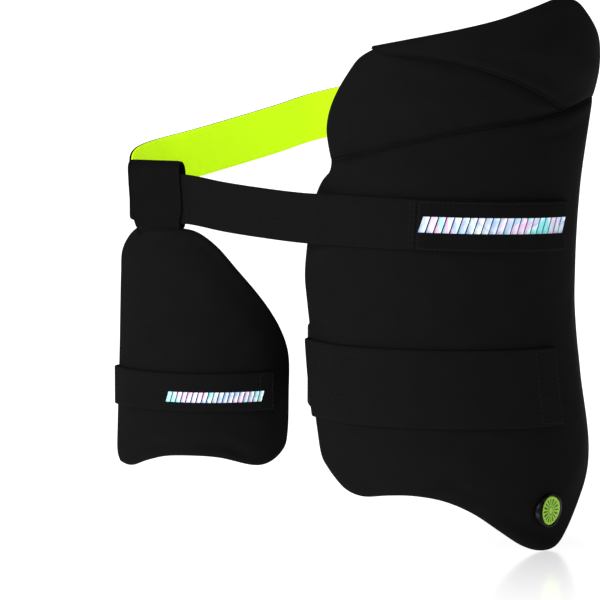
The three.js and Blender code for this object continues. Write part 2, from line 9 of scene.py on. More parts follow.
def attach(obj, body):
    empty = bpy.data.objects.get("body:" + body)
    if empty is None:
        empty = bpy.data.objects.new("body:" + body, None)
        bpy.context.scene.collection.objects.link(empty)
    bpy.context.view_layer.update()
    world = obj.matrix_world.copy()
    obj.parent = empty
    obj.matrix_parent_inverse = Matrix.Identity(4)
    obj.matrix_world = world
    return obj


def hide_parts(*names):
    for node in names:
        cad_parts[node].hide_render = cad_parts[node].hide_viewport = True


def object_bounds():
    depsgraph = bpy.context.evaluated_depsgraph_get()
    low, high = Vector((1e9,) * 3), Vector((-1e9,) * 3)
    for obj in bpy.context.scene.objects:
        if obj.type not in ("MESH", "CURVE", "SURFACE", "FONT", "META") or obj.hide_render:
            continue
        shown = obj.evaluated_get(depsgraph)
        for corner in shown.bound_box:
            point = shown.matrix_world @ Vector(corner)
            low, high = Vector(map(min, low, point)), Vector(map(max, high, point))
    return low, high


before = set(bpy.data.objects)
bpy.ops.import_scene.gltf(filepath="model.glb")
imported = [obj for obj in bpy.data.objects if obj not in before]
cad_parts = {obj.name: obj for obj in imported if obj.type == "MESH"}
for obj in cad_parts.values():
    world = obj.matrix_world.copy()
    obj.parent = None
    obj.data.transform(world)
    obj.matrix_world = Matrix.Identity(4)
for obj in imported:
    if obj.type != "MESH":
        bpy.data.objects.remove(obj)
CAD_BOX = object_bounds()

bl_info = {
    "name": "Cricket Thigh Guard",
    "version": (1, 0, 0),
    "blender": (4, 5, 0),
    "location": "View3D > Sidebar > Guard",
    "description": "Foam pads, elastic straps, bright belt lining, vent and stitching of a thigh guard",
    "category": "Object",
}

# Sizes in metres, as the frame has them
OUTER = dict(x=0.056, y=-0.012, radius=0.110, width=0.272, height=0.450, bottom=-0.302,
             rim=0.015, crown=0.0045, shoulder=0.038)
INNER = dict(x=-0.1237, y=0.055, radius=0.086, width=0.150, height=0.203, bottom=-0.249,
             rim=0.010, crown=0.003, shoulder=0.026)
CLEARANCE = 0.0003
FOAM_CLEARANCE = 0.0005
BELT = dict(width=0.041, thickness=0.0014)
LINING = dict(width=0.040, thickness=0.001)
TAB = dict(width=0.041, thickness=0.0026)
THIGH_STRAP = dict(width=0.064, thickness=0.0022)
INNER_STRAP = dict(width=0.032, thickness=0.0018)
SEWN_LAP = 0.020
HANGER = dict(width=0.0446, neck=0.0385, height=0.053, gap=0.011, thickness=0.0016,
              yaw=17.0, lean=-0.0035, skew=0.002)
VENT = dict(radius=0.0137, disc=0.0116, rise=0.0019, across=0.29, up=0.076, turn=12.0, thinnest=0.0004,
            spokes=16, slot=0.0008, slots=(0.36, 0.86, 14), hub=0.0005, groove=(0.22, 0.34, 16))
WAIST = dict(half=0.185, depth=0.155, tilt=0.030)

# Creases: the gap between two foams, how deep their cover is pressed as a share, and how far each
# piece's cover rolls down to it. Within the fading room of a free side they get shallower and narrower
CREASE_GAP = 0.0004
CREASE_DEPTH = 0.62
FADING_ROOM = 0.03
LEAST_DEPTH = 0.08
LEAST_REACH = 0.35
PANEL_ROLL = 0.007
LOBE_FOOT_ROLL = 0.016
LOBE_HEAD_ROLL = 0.011
FLAP_ROLL = 0.006
# The strip of cover in a crease: its reach to each side, its least reach where the pad ends, how far it
# lies below the rolls, and the width of its valley, past which it dives under the cover
WEB = dict(reach=0.0052, least=0.0012, below=0.00008, valley=0.0019, slope=6, thinnest=0.00015)

# Below the hanger loop, half the gap between its layers and their height over the foot
TONGUE = dict(out=[0.00088, 0.00088, 0.0042], up=[-0.008, -0.0035, -0.0006])

# Fine sizes of the straps and their seams
STRAP_STEP = 0.003
STITCH_RADIUS = 0.00028
STITCH_SPACING = 1.33
BOX_MARGIN = 0.0025
BOX_SPAN = 0.46
LAP_MARGIN = 0.003
LAP_SPAN = 0.44
TAB_BOX = dict(start=0.0022, short=0.002, span=0.458, count=90)
SEAM_ROWS = (0.0022, 0.0052)
SEAM_GAP_STEPS = 0.015
LINING_FLARE = (2.6, 1.1, 0.05)
LINING_EXTRA = 0.019
BAR_THICKNESS = 0.00022
TAB_BARS = dict(start=0.0035, short=0.0018, middle=0.02, height=0.0128, bar=0.0052, pitch=0.0063)
INNER_BARS = dict(start=0.0105, end=0.0928, middle=-0.115, height=0.0085, bar=0.0034, pitch=0.0043)

# Steps of each pad's cover, across and up, before its subdivision
FOAM_STEPS = dict(main_panel=(64, 78), upper_panel=(56, 26), hip_flap=(56, 26), inner_pad=(44, 50))

# Steps round the vent and round the section of its rim
AROUND = 120
RIM_STEPS = 24

FLOOR_GAP = 0.0006
# The floor's painted glow fades its mirror image: the glow is weakest at its centre, below the pad's tip
FLOOR_PAINTED_GLOW = dict(centre=(0.15, -0.06), reach=0.26, strength=0.62)
CAMERA = dict(lens=240, distance=3.2, tilt=8, aim=(-0.048, -0.138, -0.091))
LIGHTS = dict(
    Key=dict(place=(-2.4, -2.1, 1.4), aim=(0.0, -0.05, -0.08), size=1.4, power=88),
    Top=dict(place=(0.2, -0.6, 2.4), aim=(0.0, 0.0, -0.1), size=1.6, power=12),
)

# Each table's rows are columns here: across and up are shares of a pad's width and height
OUTER["rows"] = dict(
    up=[0, 0.16, 0.3, 0.45, 0.63, 0.8, 0.88, 1],
    widen=[1, 1.003, 1, 0.995, 1, 1.03, 1.05, 1.04],
    shift=[0.12, 0.119, 0.052, 0.013, 0.034, 0.087, 0.119, 0.133],
)
INNER["rows"] = dict(up=[0, 1], widen=[1, 1], shift=[0, 0])
LOWER_CREASE = dict(
    across=[-0.3135, -0.2535, -0.144, -0.03, 0.08, 0.203, 0.358, 0.486, 0.585],
    up=[0.7065, 0.7175, 0.739, 0.758, 0.773, 0.783, 0.795, 0.806, 0.812],
)
UPPER_CREASE = dict(
    across=[-0.204, -0.139, -0.052, 0.062, 0.189, 0.3, 0.372],
    up=[0.913, 0.909, 0.9, 0.882, 0.852, 0.819, 0.796],
)
CREASE_JOIN = 0.372
LOBE_TIP = 0.345
LOBE_LEFT = dict(
    across=[-0.3135, -0.332, -0.338, -0.33, -0.306, -0.271, -0.243, -0.204],
    up=[0.7065, 0.745, 0.767, 0.8, 0.836, 0.873, 0.897, 0.913],
)
FLAP_TOP = dict(
    across=[-0.206, -0.077, 0.025, 0.131, 0.249, 0.33, 0.4, 0.47],
    up=[0.918, 0.936, 0.95, 0.966, 0.988, 1.0, 0.994, 0.966],
)
FLAP_RIGHT = dict(across=[0.585, 0.6, 0.587, 0.545, 0.47], up=[0.812, 0.85, 0.896, 0.932, 0.966])
PANEL_LEFT = dict(
    across=[-0.35, -0.387, -0.397, -0.392, -0.388, -0.397, -0.407, -0.402, -0.388, -0.37, -0.343,
            -0.3185, -0.3135],
    up=[0.136, 0.163, 0.22, 0.304, 0.396, 0.45, 0.495, 0.541, 0.597, 0.643, 0.675,
        0.691, 0.7065],
)
PANEL_BOTTOM = dict(
    across=[-0.35, -0.296, -0.241, -0.162, -0.0915, -0.009, 0.073, 0.159, 0.225, 0.279, 0.311, 0.341, 0.372,
            0.408, 0.444, 0.476],
    up=[0.136, 0.11, 0.101, 0.107, 0.109, 0.101, 0.078, 0.04, 0.012, -0.0015, -0.0045, -0.003, 0.0065,
        0.0298, 0.0562, 0.0778],
)
PANEL_RIGHT = dict(
    across=[0.476, 0.516, 0.554, 0.578, 0.592, 0.59, 0.582, 0.585],
    up=[0.0778, 0.101, 0.129, 0.163, 0.22, 0.45, 0.7, 0.812],
)
INNER_LEFT = dict(
    across=[-0.533, -0.562, -0.562, -0.54, -0.522, -0.512, -0.455, -0.391],
    up=[0.006, 0.04, 0.182, 0.517, 0.808, 0.892, 0.96, 1.0],
)
INNER_FOOT = dict(
    across=[-0.533, -0.472, -0.426, -0.382, -0.329, -0.229, -0.07, 0.057, 0.165, 0.22, 0.266, 0.314, 0.358,
            0.397],
    up=[0.006, -0.002, 0.0045, 0.019, 0.034, 0.055, 0.061, 0.053, 0.03, 0.0185, 0.014, 0.019, 0.034, 0.055],
)
INNER_RIGHT = dict(
    across=[0.397, 0.434, 0.452, 0.459, 0.457, 0.409, 0.334, 0.249, 0.152, 0.06, -0.012, -0.069, -0.127],
    up=[0.055, 0.087, 0.15, 0.3, 0.4725, 0.569, 0.661, 0.745, 0.833, 0.918, 0.9665, 0.991, 1.0],
)
INNER_NECK = dict(across=[-0.391, -0.26, -0.127], up=[1.0, 1.004, 1.0])
BELT_ON_PAD = dict(across=[-0.24, -0.1, 0.12, 0.3, 0.389], up=[0.607, 0.606, 0.6, 0.593, 0.5895])
BELT_SEAM = -0.045
BELT_SEWN_UP = 0.675
# The belt's free stretch, in shares of the waist's half width, depth and tilt
BELT_FREE = dict(
    aside=[-0.243, -0.416, -0.584, -0.751, -0.876, -0.972, -1.002, -1.009, -0.995, -0.958, -0.89, -0.751,
           -0.557, -0.367, -0.173, 0.108, 0.46, 0.76, 0.93, 0.955],
    behind=[-0.652, -0.516, -0.381, -0.2355, -0.181, -0.145, -0.11, -0.058, 0.0, 0.084, 0.21, 0.352,
            0.555, 0.735, 0.9, 1.0, 0.93, 0.7, 0.4, 0.08],
    rise=[-0.97, -0.92, -0.84, -0.72, -0.7, -0.67, -0.6, -0.44, -0.22, -0.05, 0.04, 0.2,
          0.45, 0.72, 1.03, 1.3, 1.17, 0.9, 0.6, 0.4],
)
THIGH_STRAP_ON_PAD = dict(across=[-0.345, 0.05, 0.355], up=[0.311, 0.3075, 0.299])
THIGH_STRAP_FREE = dict(
    aside=[-0.9, -0.91, -0.82, -0.57, -0.2, 0.22, 0.62, 0.89, 0.965],
    behind=[-0.25, 0.12, 0.45, 0.75, 0.9, 0.9, 0.74, 0.42, 0.12],
)
INNER_STRAP_ON_PAD = dict(across=[-0.49, 0.33], up=[0.333, 0.33])
INNER_STRAP_FREE = dict(
    aside=[-0.85, -0.86, -0.82, -0.54, -0.1, 0.34, 0.57, 0.615, 0.63],
    behind=[-0.3, 0.05, 0.5, 0.92, 1.05, 0.92, 0.5, 0.0, -0.4],
)
LOOP_PROFILE = dict(
    out=[1, 1.02, 1, 0.8, 0, -0.8, -1, -1.02, -1],
    up=[0.05, 0.4, 0.75, 0.93, 1, 0.93, 0.75, 0.4, 0.05],
)


class GuardSizes(bpy.types.PropertyGroup):
    """Sizes that a user may change."""

    swell: bpy.props.FloatProperty(
        name="Foam swell", description="How far a pad's skin may puff out", default=0.0022, unit="LENGTH")
    knit_pitch: bpy.props.FloatProperty(
        name="Knit pitch", description="Width of one stitch of the cover's knit", default=0.0011,
        unit="LENGTH")
    rib_pitch: bpy.props.FloatProperty(
        name="Rib pitch", description="Distance between ribs of the elastic", default=0.0016, unit="LENGTH")
    stitch: bpy.props.FloatProperty(
        name="Stitch length", description="Length of one stitch of the seams", default=0.0030, unit="LENGTH")


class GuardColours(bpy.types.PropertyGroup):
    """Colours that a user may change."""

    cover: bpy.props.FloatVectorProperty(
        name="Cover", description="Colour of the pads' cover", size=3, subtype="COLOR",
        default=(0.0050, 0.0050, 0.0052))
    elastic: bpy.props.FloatVectorProperty(
        name="Elastic", description="Colour of the straps", size=3, subtype="COLOR",
        default=(0.0048, 0.0048, 0.0050))
    bright: bpy.props.FloatVectorProperty(
        name="Bright", description="Colour of the belt's lining", size=3, subtype="COLOR",
        default=(0.58, 0.95, 0.008))
    vent: bpy.props.FloatVectorProperty(
        name="Vent", description="Colour of the vent's centre", size=3, subtype="COLOR",
        default=(0.30, 0.62, 0.01))


def read(table, key, at, column):
    """Value of a column where another column has a given value: a cubic through the rows, each with
    the slope between its neighbours."""
    keys = np.asarray(table[key], float)
    values = np.asarray(table[column], float)
    ends = np.diff(values) / np.diff(keys)
    slopes = (values[2:] - values[:-2]) / (keys[2:] - keys[:-2])
    slopes = np.concatenate([ends[:1], slopes, ends[-1:]])
    i = np.clip(np.searchsorted(keys, at, side="right") - 1, 0, len(keys) - 2)
    span = keys[i + 1] - keys[i]
    t = np.clip((at - keys[i]) / span, 0, 1)
    a = 2 * t**3 - 3 * t**2 + 1
    b = t**3 - 2 * t**2 + t
    c = t**3 - t**2
    return a * values[i] + (1 - a) * values[i + 1] + (b * slopes[i] + c * slopes[i + 1]) * span


def between(t, a, b, p, q):
    """Point at t on the straight line that is p at a and q at b."""
    return (b - t) / (b - a) * p + (t - a) / (b - a) * q


def spline(knots, count):
    """Evenly spaced points on a centripetal curve through knots of any dimension."""
    knots = np.asarray(knots, float)
    knots = np.concatenate([[2 * knots[0] - knots[1]], knots, [2 * knots[-1] - knots[-2]]])
    gaps = np.linalg.norm(np.diff(knots, axis=0), axis=1) ** 0.5
    at = np.concatenate([[0], np.cumsum(np.maximum(gaps, 1e-6))])
    fine = []
    for i in range(1, len(knots) - 2):
        t = np.linspace(at[i], at[i + 1], 24, endpoint=False)[:, None]
        p0, p1, p2, p3 = knots[i - 1:i + 3]
        t0, t1, t2, t3 = at[i - 1:i + 3]
        middle = between(t, t1, t2, p1, p2)
        before = between(t, t0, t2, between(t, t0, t1, p0, p1), middle)
        after = between(t, t1, t3, middle, between(t, t2, t3, p2, p3))
        fine.append(between(t, t1, t2, before, after))
    return resample(np.concatenate(fine + [knots[-2:-1]]), count)


def run_length(points):
    """Length along a line at each of its points."""
    return np.concatenate([[0], np.cumsum(np.linalg.norm(np.diff(points, axis=0), axis=1))])


def rows_at(at, keys, table):
    """Rows of a table at places between its keys."""
    return np.stack([np.interp(at, keys, column) for column in table.T], axis=-1)


def resample(points, count):
    """The same line with evenly spaced points."""
    length = run_length(points)
    return rows_at(np.linspace(0, length[-1], count), length, points)


def ease(s):
    """Smooth step: s^2 (3 - 2 s) between 0 and 1, and level outside."""
    s = np.clip(s, 0, 1)
    return s * s * (3 - 2 * s)


def join(*parts):
    """Array whose last axis holds the parts."""
    return np.stack(np.broadcast_arrays(*parts), axis=-1)


def unit(vectors):
    """The same directions with length 1."""
    return vectors / np.linalg.norm(vectors, axis=-1, keepdims=True)


def centre_at(form, up):
    """Place along x of the middle of the form about which a pad is wrapped, at a share of its height."""
    return form["x"] + form["radius"] * read(form["rows"], "up", up, "shift")


def height_at(form, table, across):
    """Height of a line on a pad at shares of its width."""
    return form["bottom"] + form["height"] * read(table, "across", across, "up")


def place_on(form, x, z, lift):
    """Place of flat points of a pad: the lining is a round wall about the thigh, x runs along it from
    the front line, z is the height and lift is the distance out."""
    up = (z - form["bottom"]) / form["height"]
    radius = form["radius"] * read(form["rows"], "up", up, "widen") + lift
    turn = x / form["radius"]
    return join(centre_at(form, up) + radius * np.sin(turn), form["y"] - radius * np.cos(turn), z + 0 * x)


def outline_side(form, table, count=81):
    """Flat points of one side of a pad's outline."""
    up = form["bottom"] + np.array(table["up"]) * form["height"]
    return spline(join(np.array(table["across"]) * form["width"], up), count)


def crease_side(form, table, start, end, rise, count=81):
    """Flat points along a crease between two shares of the width, moved up by half its gap."""
    across = np.linspace(start, end, count)
    return join(across * form["width"], height_at(form, table, across) + rise)


def fit_ends(points, start, end):
    """A side whose ends are moved onto two corners, the shift fading along it."""
    t = np.linspace(0, 1, len(points))[:, None]
    return points + (start - points[0]) * (1 - t) + (end - points[-1]) * t


def foam_shape(form, foot, right, head, left):
    """Four sides of a pad, foot and head running right and the others running up, with its outline."""
    right = fit_ends(right, foot[-1], head[-1])
    left = fit_ends(left, foot[0], head[0])
    outline = np.concatenate([foot, right[1:], head[::-1][1:], left[::-1][1:-1]])
    return dict(form=form, foot=foot, right=right, head=head, left=left,
                outline=np.concatenate([outline, outline[:1]]), creases=[], free=[outline])


def distance(line, flat):
    """Distance from flat points to a line."""
    run = line[1:] - line[:-1]
    keep = np.linalg.norm(run, axis=1) > 1e-7
    a, run = line[:-1][keep], run[keep]
    flat = np.asarray(flat, float)
    points = flat.reshape(-1, 2)
    least = np.full(len(points), np.inf)
    for start in range(0, len(points), 2000):
        part = points[start:start + 2000, None, :] - a[None]
        t = np.clip((part * run).sum(-1) / (run**2).sum(-1), 0, 1)
        least[start:start + 2000] = np.linalg.norm(part - t[..., None] * run, axis=-1).min(1)
    return least.reshape(flat.shape[:-1])


def face_lift(form, depth):
    """Height of a pad's face: a quarter round of half the rim, then a soft swelling over the shoulder."""
    rise = form["crown"] * ease(depth / form["shoulder"])
    return form["rim"] / 2 * (1 + quarter(depth, form["rim"] / 2)) + rise


def lining_lift(form, depth):
    """Height of a pad's lining, which rounds up to the rim."""
    return form["rim"] / 2 * (1 - quarter(depth, form["rim"] / 2))


def quarter(depth, reach):
    """Quarter round: 0 at the edge, where it stands upright, and 1 from its reach on."""
    return np.sqrt(1 - (1 - np.minimum(depth / reach, 1)) ** 2)


def cover_lift(shape, flat):
    """Height of a pad's cover: it swells over the shoulder, drops in a quarter round to the middle of
    the rim at a free side, and rolls down at a crease over that crease's own reach. The roll is
    shallower and it fades towards the free sides; on the crease itself the cover drops to its seam."""
    form = shape["form"]
    rise = form["crown"] * ease(distance(shape["outline"], flat) / form["shoulder"])
    free = np.minimum.reduce([distance(line, flat) for line in shape["free"]])
    drop = 1 - quarter(free, form["rim"] / 2)
    fade = crease_fade(free)
    for line, reach in shape["creases"]:
        off = distance(line, flat)
        drop = np.maximum(drop, np.where(off < 1e-5, 1, crease_roll(off, reach, fade)))
    return form["rim"] * (1 - drop / 2) + rise


def crease_fade(room):
    """Share of a crease's full depth at a distance from the free sides."""
    return LEAST_DEPTH + (1 - LEAST_DEPTH) * ease(room / FADING_ROOM)


def crease_roll(off, reach, fade):
    """How far a cover rolls down at a distance from its crease: depth (1 - distance/reach)^2."""
    reach = reach * (LEAST_REACH + (1 - LEAST_REACH) * fade)
    return CREASE_DEPTH * fade * (1 - np.minimum(off / reach, 1)) ** 2


def along(points, share):
    """Points at shares of a side."""
    return rows_at(share * (len(points) - 1), np.arange(len(points)), points)


def eased(count):
    """Steps from 0 to 1, closer together at both ends."""
    s = np.linspace(0, 1, count + 1)
    return 0.3 * s + 0.7 * (0.5 - 0.5 * np.cos(np.pi * s))


def flat_grid(shape, columns, rows):
    """Grid of flat points that blends between a pad's four sides."""
    u = eased(columns)[:, None, None]
    v = eased(rows)[None, :, None]
    foot, head = (along(shape[k], u[:, 0, 0])[:, None] for k in ("foot", "head"))
    left, right = (along(shape[k], v[0, :, 0])[None] for k in ("left", "right"))
    corners = ((1 - u) * (1 - v) * shape["foot"][0] + u * (1 - v) * shape["foot"][-1]
               + (1 - u) * v * shape["head"][0] + u * v * shape["head"][-1])
    return (1 - v) * foot + v * head + (1 - u) * left + u * right - corners


def outer_shapes():
    """The three foam pieces of the outer pad."""
    half = CREASE_GAP / 2
    left, right = LOWER_CREASE["across"][0], LOWER_CREASE["across"][-1]
    tip = UPPER_CREASE["across"][0]
    panel = foam_shape(OUTER, outline_side(OUTER, PANEL_BOTTOM, 161), outline_side(OUTER, PANEL_RIGHT),
                       crease_side(OUTER, LOWER_CREASE, left, right, -half), outline_side(OUTER, PANEL_LEFT))
    foot = crease_side(OUTER, LOWER_CREASE, left, LOBE_TIP, half)
    lobe = foam_shape(OUTER, foot, np.repeat(foot[-1:], 9, axis=0),
                      crease_side(OUTER, UPPER_CREASE, tip, LOBE_TIP, -half), outline_side(OUTER, LOBE_LEFT))
    foot = np.concatenate([crease_side(OUTER, UPPER_CREASE, tip, CREASE_JOIN, half),
                           crease_side(OUTER, LOWER_CREASE, CREASE_JOIN, right, half)[1:]])
    flap = foam_shape(OUTER, foot, outline_side(OUTER, FLAP_RIGHT), outline_side(OUTER, FLAP_TOP),
                      np.repeat(foot[:1], 9, axis=0))
    panel.update(creases=[(panel["head"], PANEL_ROLL)], free=[panel["left"], panel["foot"], panel["right"]])
    lobe.update(creases=[(lobe["foot"], LOBE_FOOT_ROLL), (lobe["head"], LOBE_HEAD_ROLL)], free=[lobe["left"]])
    flap.update(creases=[(flap["foot"], FLAP_ROLL)], free=[flap["right"], flap["head"]])
    return dict(main_panel=panel, upper_panel=lobe, hip_flap=flap)


def inner_shape():
    """The foam piece of the inner pad."""
    return foam_shape(INNER, outline_side(INNER, INNER_FOOT, 161), outline_side(INNER, INNER_RIGHT),
                      outline_side(INNER, INNER_NECK), outline_side(INNER, INNER_LEFT))


SHAPES = dict(outer_shapes(), inner_pad=inner_shape())


def make_mesh(name, points, faces):
    """Mesh object from an array of points and an array of quads."""
    mesh = bpy.data.meshes.new(name)
    faces = np.asarray(faces, np.int32)
    mesh.vertices.add(len(points))
    mesh.vertices.foreach_set("co", np.asarray(points, np.float32).ravel())
    mesh.loops.add(faces.size)
    mesh.loops.foreach_set("vertex_index", faces.ravel())
    mesh.polygons.add(len(faces))
    mesh.polygons.foreach_set("loop_start", np.arange(len(faces), dtype=np.int32) * faces.shape[1])
    mesh.update(calc_edges=True)
    mesh.validate()
    mesh.shade_smooth()
    piece = bpy.data.objects.new(name, mesh)
    bpy.context.scene.collection.objects.link(piece)
    return piece


def grid_quads(columns, rows, looped=False, tube=False, offset=0, flip=False):
    """Quads of a grid of points, columns by rows, whose first index runs along the columns. A looped
    grid joins its last column to its first, and a tube its last row to its first."""
    i = np.arange(columns if looped else columns - 1)[:, None]
    j = np.arange(rows if tube else rows - 1)[None]
    n, m = (i + 1) % columns, (j + 1) % rows
    corners = (i * rows + j, n * rows + j, n * rows + m, i * rows + m)
    quads = join(*corners).reshape(-1, 4) + offset
    return quads[:, ::-1] if flip else quads


def tube_quads(columns, rows):
    """Quads of a tube, turned over, so that they face outwards."""
    return grid_quads(columns, rows, tube=True)[:, [0, 3, 2, 1]]


def copies(quads, size, count):
    """Quads of copies of a piece, whose points follow each other."""
    return (quads[None] + np.arange(count)[:, None, None] * size).reshape(-1, 4)


def slab(front, back):
    """Points and quads of a closed wall between two grids of the same size."""
    columns, rows = front.shape[:2]
    size = columns * rows
    index = np.arange(size).reshape(columns, rows)
    rim = np.concatenate([index[:-1, 0], index[-1, :-1], index[:0:-1, -1], index[0, :0:-1]])
    after = np.roll(rim, -1)
    side = np.stack([rim, rim + size, after + size, after], axis=1)[:, ::-1]
    under = grid_quads(columns, rows, offset=size, flip=True)
    quads = np.concatenate([grid_quads(columns, rows), under, side])
    return np.concatenate([front.reshape(-1, 3), back.reshape(-1, 3)]), quads


def flat_of(form, points):
    """Flat points of a pad below given places: the way round the thigh from the front line, and the
    height."""
    up = np.clip((points[:, 2] - form["bottom"]) / form["height"], 0, 1)
    turn = np.arctan2(points[:, 0] - centre_at(form, up), form["y"] - points[:, 1])
    return join(turn * form["radius"], points[:, 2])


def place_uv(piece, form):
    """UV map in metres on a pad, from the flat point below each corner."""
    set_uv(piece, flat_of(form, read_points(piece)))


def set_uv(piece, flat):
    """UV map from a flat point for each of a mesh's points."""
    mesh = piece.data
    index = np.empty(len(mesh.loops), np.int32)
    mesh.loops.foreach_get("vertex_index", index)
    layer = mesh.uv_layers.get("Flat") or mesh.uv_layers.new(name="Flat")
    layer.uv.foreach_set("vector", flat[index].astype(np.float32).ravel())


def foam_piece(node, columns, rows, swell):
    """Foam pad: its face and its lining are two grids over the same outline, which share their rim."""
    shape = SHAPES[node]
    form = shape["form"]
    flat = flat_grid(shape, columns, rows)
    rim = np.ones(flat.shape[:2], bool)
    rim[1:-1, 1:-1] = False
    depth = np.where(rim, 0, distance(shape["outline"], flat))
    start = swell * np.clip(depth / form["rim"], 0, 1)
    face = place_on(form, flat[..., 0], flat[..., 1], cover_lift(shape, flat) - start)
    lining = place_on(form, flat[..., 0], flat[..., 1], lining_lift(form, depth) + start * 0.5)
    size = rim.size
    points = np.concatenate([face.reshape(-1, 3), lining.reshape(-1, 3)])
    index = np.arange(2 * size)
    index[size:][rim.ravel()] = index[:size][rim.ravel()]
    front = grid_quads(columns + 1, rows + 1)
    back = grid_quads(columns + 1, rows + 1, offset=size, flip=True)
    quads = index[np.concatenate([front, back])]
    used, quads = np.unique(quads, return_inverse=True)
    piece = make_mesh(node + "_foam", points[used], quads.reshape(-1, 4))
    weld(piece)
    return piece


def crease_web(name, table, start, end, above, below):
    """Cover between two foams behind their crease: it fills the groove that their rounded backs leave,
    r/2 (1 - q(distance from the crease)), and in the middle it carries the valley of the two rolls,
    r/2 (1 - depth (1 - distance/reach)^2), over the seam between them."""
    across = np.linspace(start, end, 161)[:, None]
    side = np.linspace(-1, 1, 17)[None]
    side = np.sign(side) * np.abs(side) ** 1.6
    middle = height_at(OUTER, table, across)
    sides = [line for node in ("main_panel", "upper_panel", "hip_flap") for line in SHAPES[node]["free"]]
    line = np.concatenate([across * OUTER["width"], middle], axis=1)
    room = np.minimum.reduce([distance(k, line) for k in sides])[:, None]
    half = np.minimum(WEB["reach"], np.maximum(0.85 * room, WEB["least"]))
    x = across * OUTER["width"] + 0 * side
    z = middle + side * half
    flat = join(x, z)
    inside = np.minimum.reduce([distance(k, flat) for k in sides])
    low = lining_lift(OUTER, inside) + CLEARANCE
    off = np.abs(side * half)
    reach = np.where(side > 0, np.where(across > CREASE_JOIN, FLAP_ROLL, above), below)
    roll = crease_roll(off, reach, crease_fade(room))
    valley = OUTER["rim"] / 2 * (1 + quarter(inside, OUTER["rim"] / 2) - roll) - WEB["below"]
    valley = valley - np.maximum(off - WEB["valley"], 0) * WEB["slope"]
    high = np.maximum.reduce([lining_lift(OUTER, off) - 0.0001, valley, low + WEB["thinnest"]])
    points, quads = slab(place_on(OUTER, x, z, high), place_on(OUTER, x, z, low))
    piece = make_mesh(name, points, quads)
    place_uv(piece, OUTER)
    return piece


def weld(piece, reach=2e-5):
    """Merges points that lie together."""
    work = bmesh.new()
    work.from_mesh(piece.data)
    bmesh.ops.remove_doubles(work, verts=work.verts, dist=reach)
    bmesh.ops.dissolve_degenerate(work, edges=work.edges, dist=reach)
    bmesh.ops.recalc_face_normals(work, faces=work.faces)
    work.to_mesh(piece.data)
    work.free()
    piece.data.shade_smooth()


def puff(piece, shape, cap, frames=20, pressure=4.0):
    """Lets a cover fill out as cloth under pressure from inside, and caps how far each point may go.
    The seam round the rim stays where it is."""
    before = read_points(piece)
    cloth = piece.modifiers.new("Fill", "CLOTH")
    settings = dict(quality=6, mass=0.3, tension_stiffness=12, compression_stiffness=12, shear_stiffness=6,
                    bending_stiffness=0.8, use_pressure=True, uniform_pressure_force=pressure)
    for key, value in settings.items():
        setattr(cloth.settings, key, value)
    cloth.settings.effector_weights.gravity = 0
    cloth.collision_settings.use_collision = False
    scene = bpy.context.scene
    for step in range(1, frames + 1):
        scene.frame_set(step)
    graph = bpy.context.evaluated_depsgraph_get()
    after = read_points(piece.evaluated_get(graph))
    piece.modifiers.remove(cloth)
    scene.frame_set(1)
    move = after - before
    size = np.linalg.norm(move, axis=1, keepdims=True)
    form = shape["form"]
    free = np.clip(distance(shape["outline"], flat_of(form, before)) / form["rim"], 0, 1)[:, None]
    write_points(piece, before + move * free * np.minimum(1, cap / np.maximum(size, 1e-9)))


def read_points(piece):
    """Points of a piece's mesh as an array."""
    points = np.empty(len(piece.data.vertices) * 3, np.float32)
    piece.data.vertices.foreach_get("co", points)
    return points.reshape(-1, 3).astype(float)


def write_points(piece, points):
    """Puts an array of points into a piece's mesh."""
    piece.data.vertices.foreach_set("co", points.astype(np.float32).ravel())
    piece.data.update()


def finish_modifier(piece, kind, **values):
    """Adds a modifier and applies it to the mesh."""
    modifier = piece.modifiers.new(kind.title(), kind)
    for key, value in values.items():
        setattr(modifier, key, value)
    graph = bpy.context.evaluated_depsgraph_get()
    mesh = bpy.data.meshes.new_from_object(piece.evaluated_get(graph))
    piece.modifiers.remove(modifier)
    old = piece.data
    piece.data = mesh
    mesh.name = piece.name
    bpy.data.meshes.remove(old)


def lift_under(shape, x, z, width):
    """Highest face under a strap's width, with the clearance that keeps the strap off the foam."""
    form = shape["form"]
    z = np.asarray(z, float)
    levels = z[..., None] + np.linspace(-0.5, 0.5, 5) * width
    flat = join(np.asarray(x)[..., None], levels)
    return face_lift(form, distance(shape["outline"], flat)).max(-1) + FOAM_CLEARANCE


def guides_on(form, x, z, width, lift):
    """Three guide points across a strap, at each flat x and middle height."""
    v = np.array([-0.5, 0, 0.5]) * width
    x, z, lift = (np.asarray(k, float)[..., None] for k in (x, z, lift))
    return place_on(form, x + 0 * v, z + v, lift + 0 * v)


def face_guides(shape, table, width, count=23):
    """Guides of a strap on a pad's face, from its free end on the right to the left."""
    form = shape["form"]
    across = np.linspace(table["across"][-1], table["across"][0], count)
    x, z = across * form["width"], height_at(form, table, across)
    return guides_on(form, x, z, width, lift_under(shape, x, z, width))


def side_reach(shape, z, half, side):
    """Outermost reach of a pad's left or right side within half a strap's width of a height."""
    line = shape[side]
    near = line[np.abs(line[:, 1] - z) < half, 0]
    return near.min() if side == "left" else near.max()


def rim_guides(shape, z, width):
    """Guides that carry a strap round the rounded left rim of a pad."""
    form = shape["form"]
    half = form["rim"] / 2
    reach = half + FOAM_CLEARANCE
    middle = side_reach(shape, z, width / 2, "left") + half
    angle = np.radians([5, 25, 50, 80, 110, 140])
    x = middle - reach * np.sin(angle)
    lift = half + reach * np.cos(angle)
    lift[:2] = np.maximum(lift[:2], lift_under(shape, x[:2], np.full(2, z), width))
    return guides_on(form, x, np.full(len(x), z), width, lift)


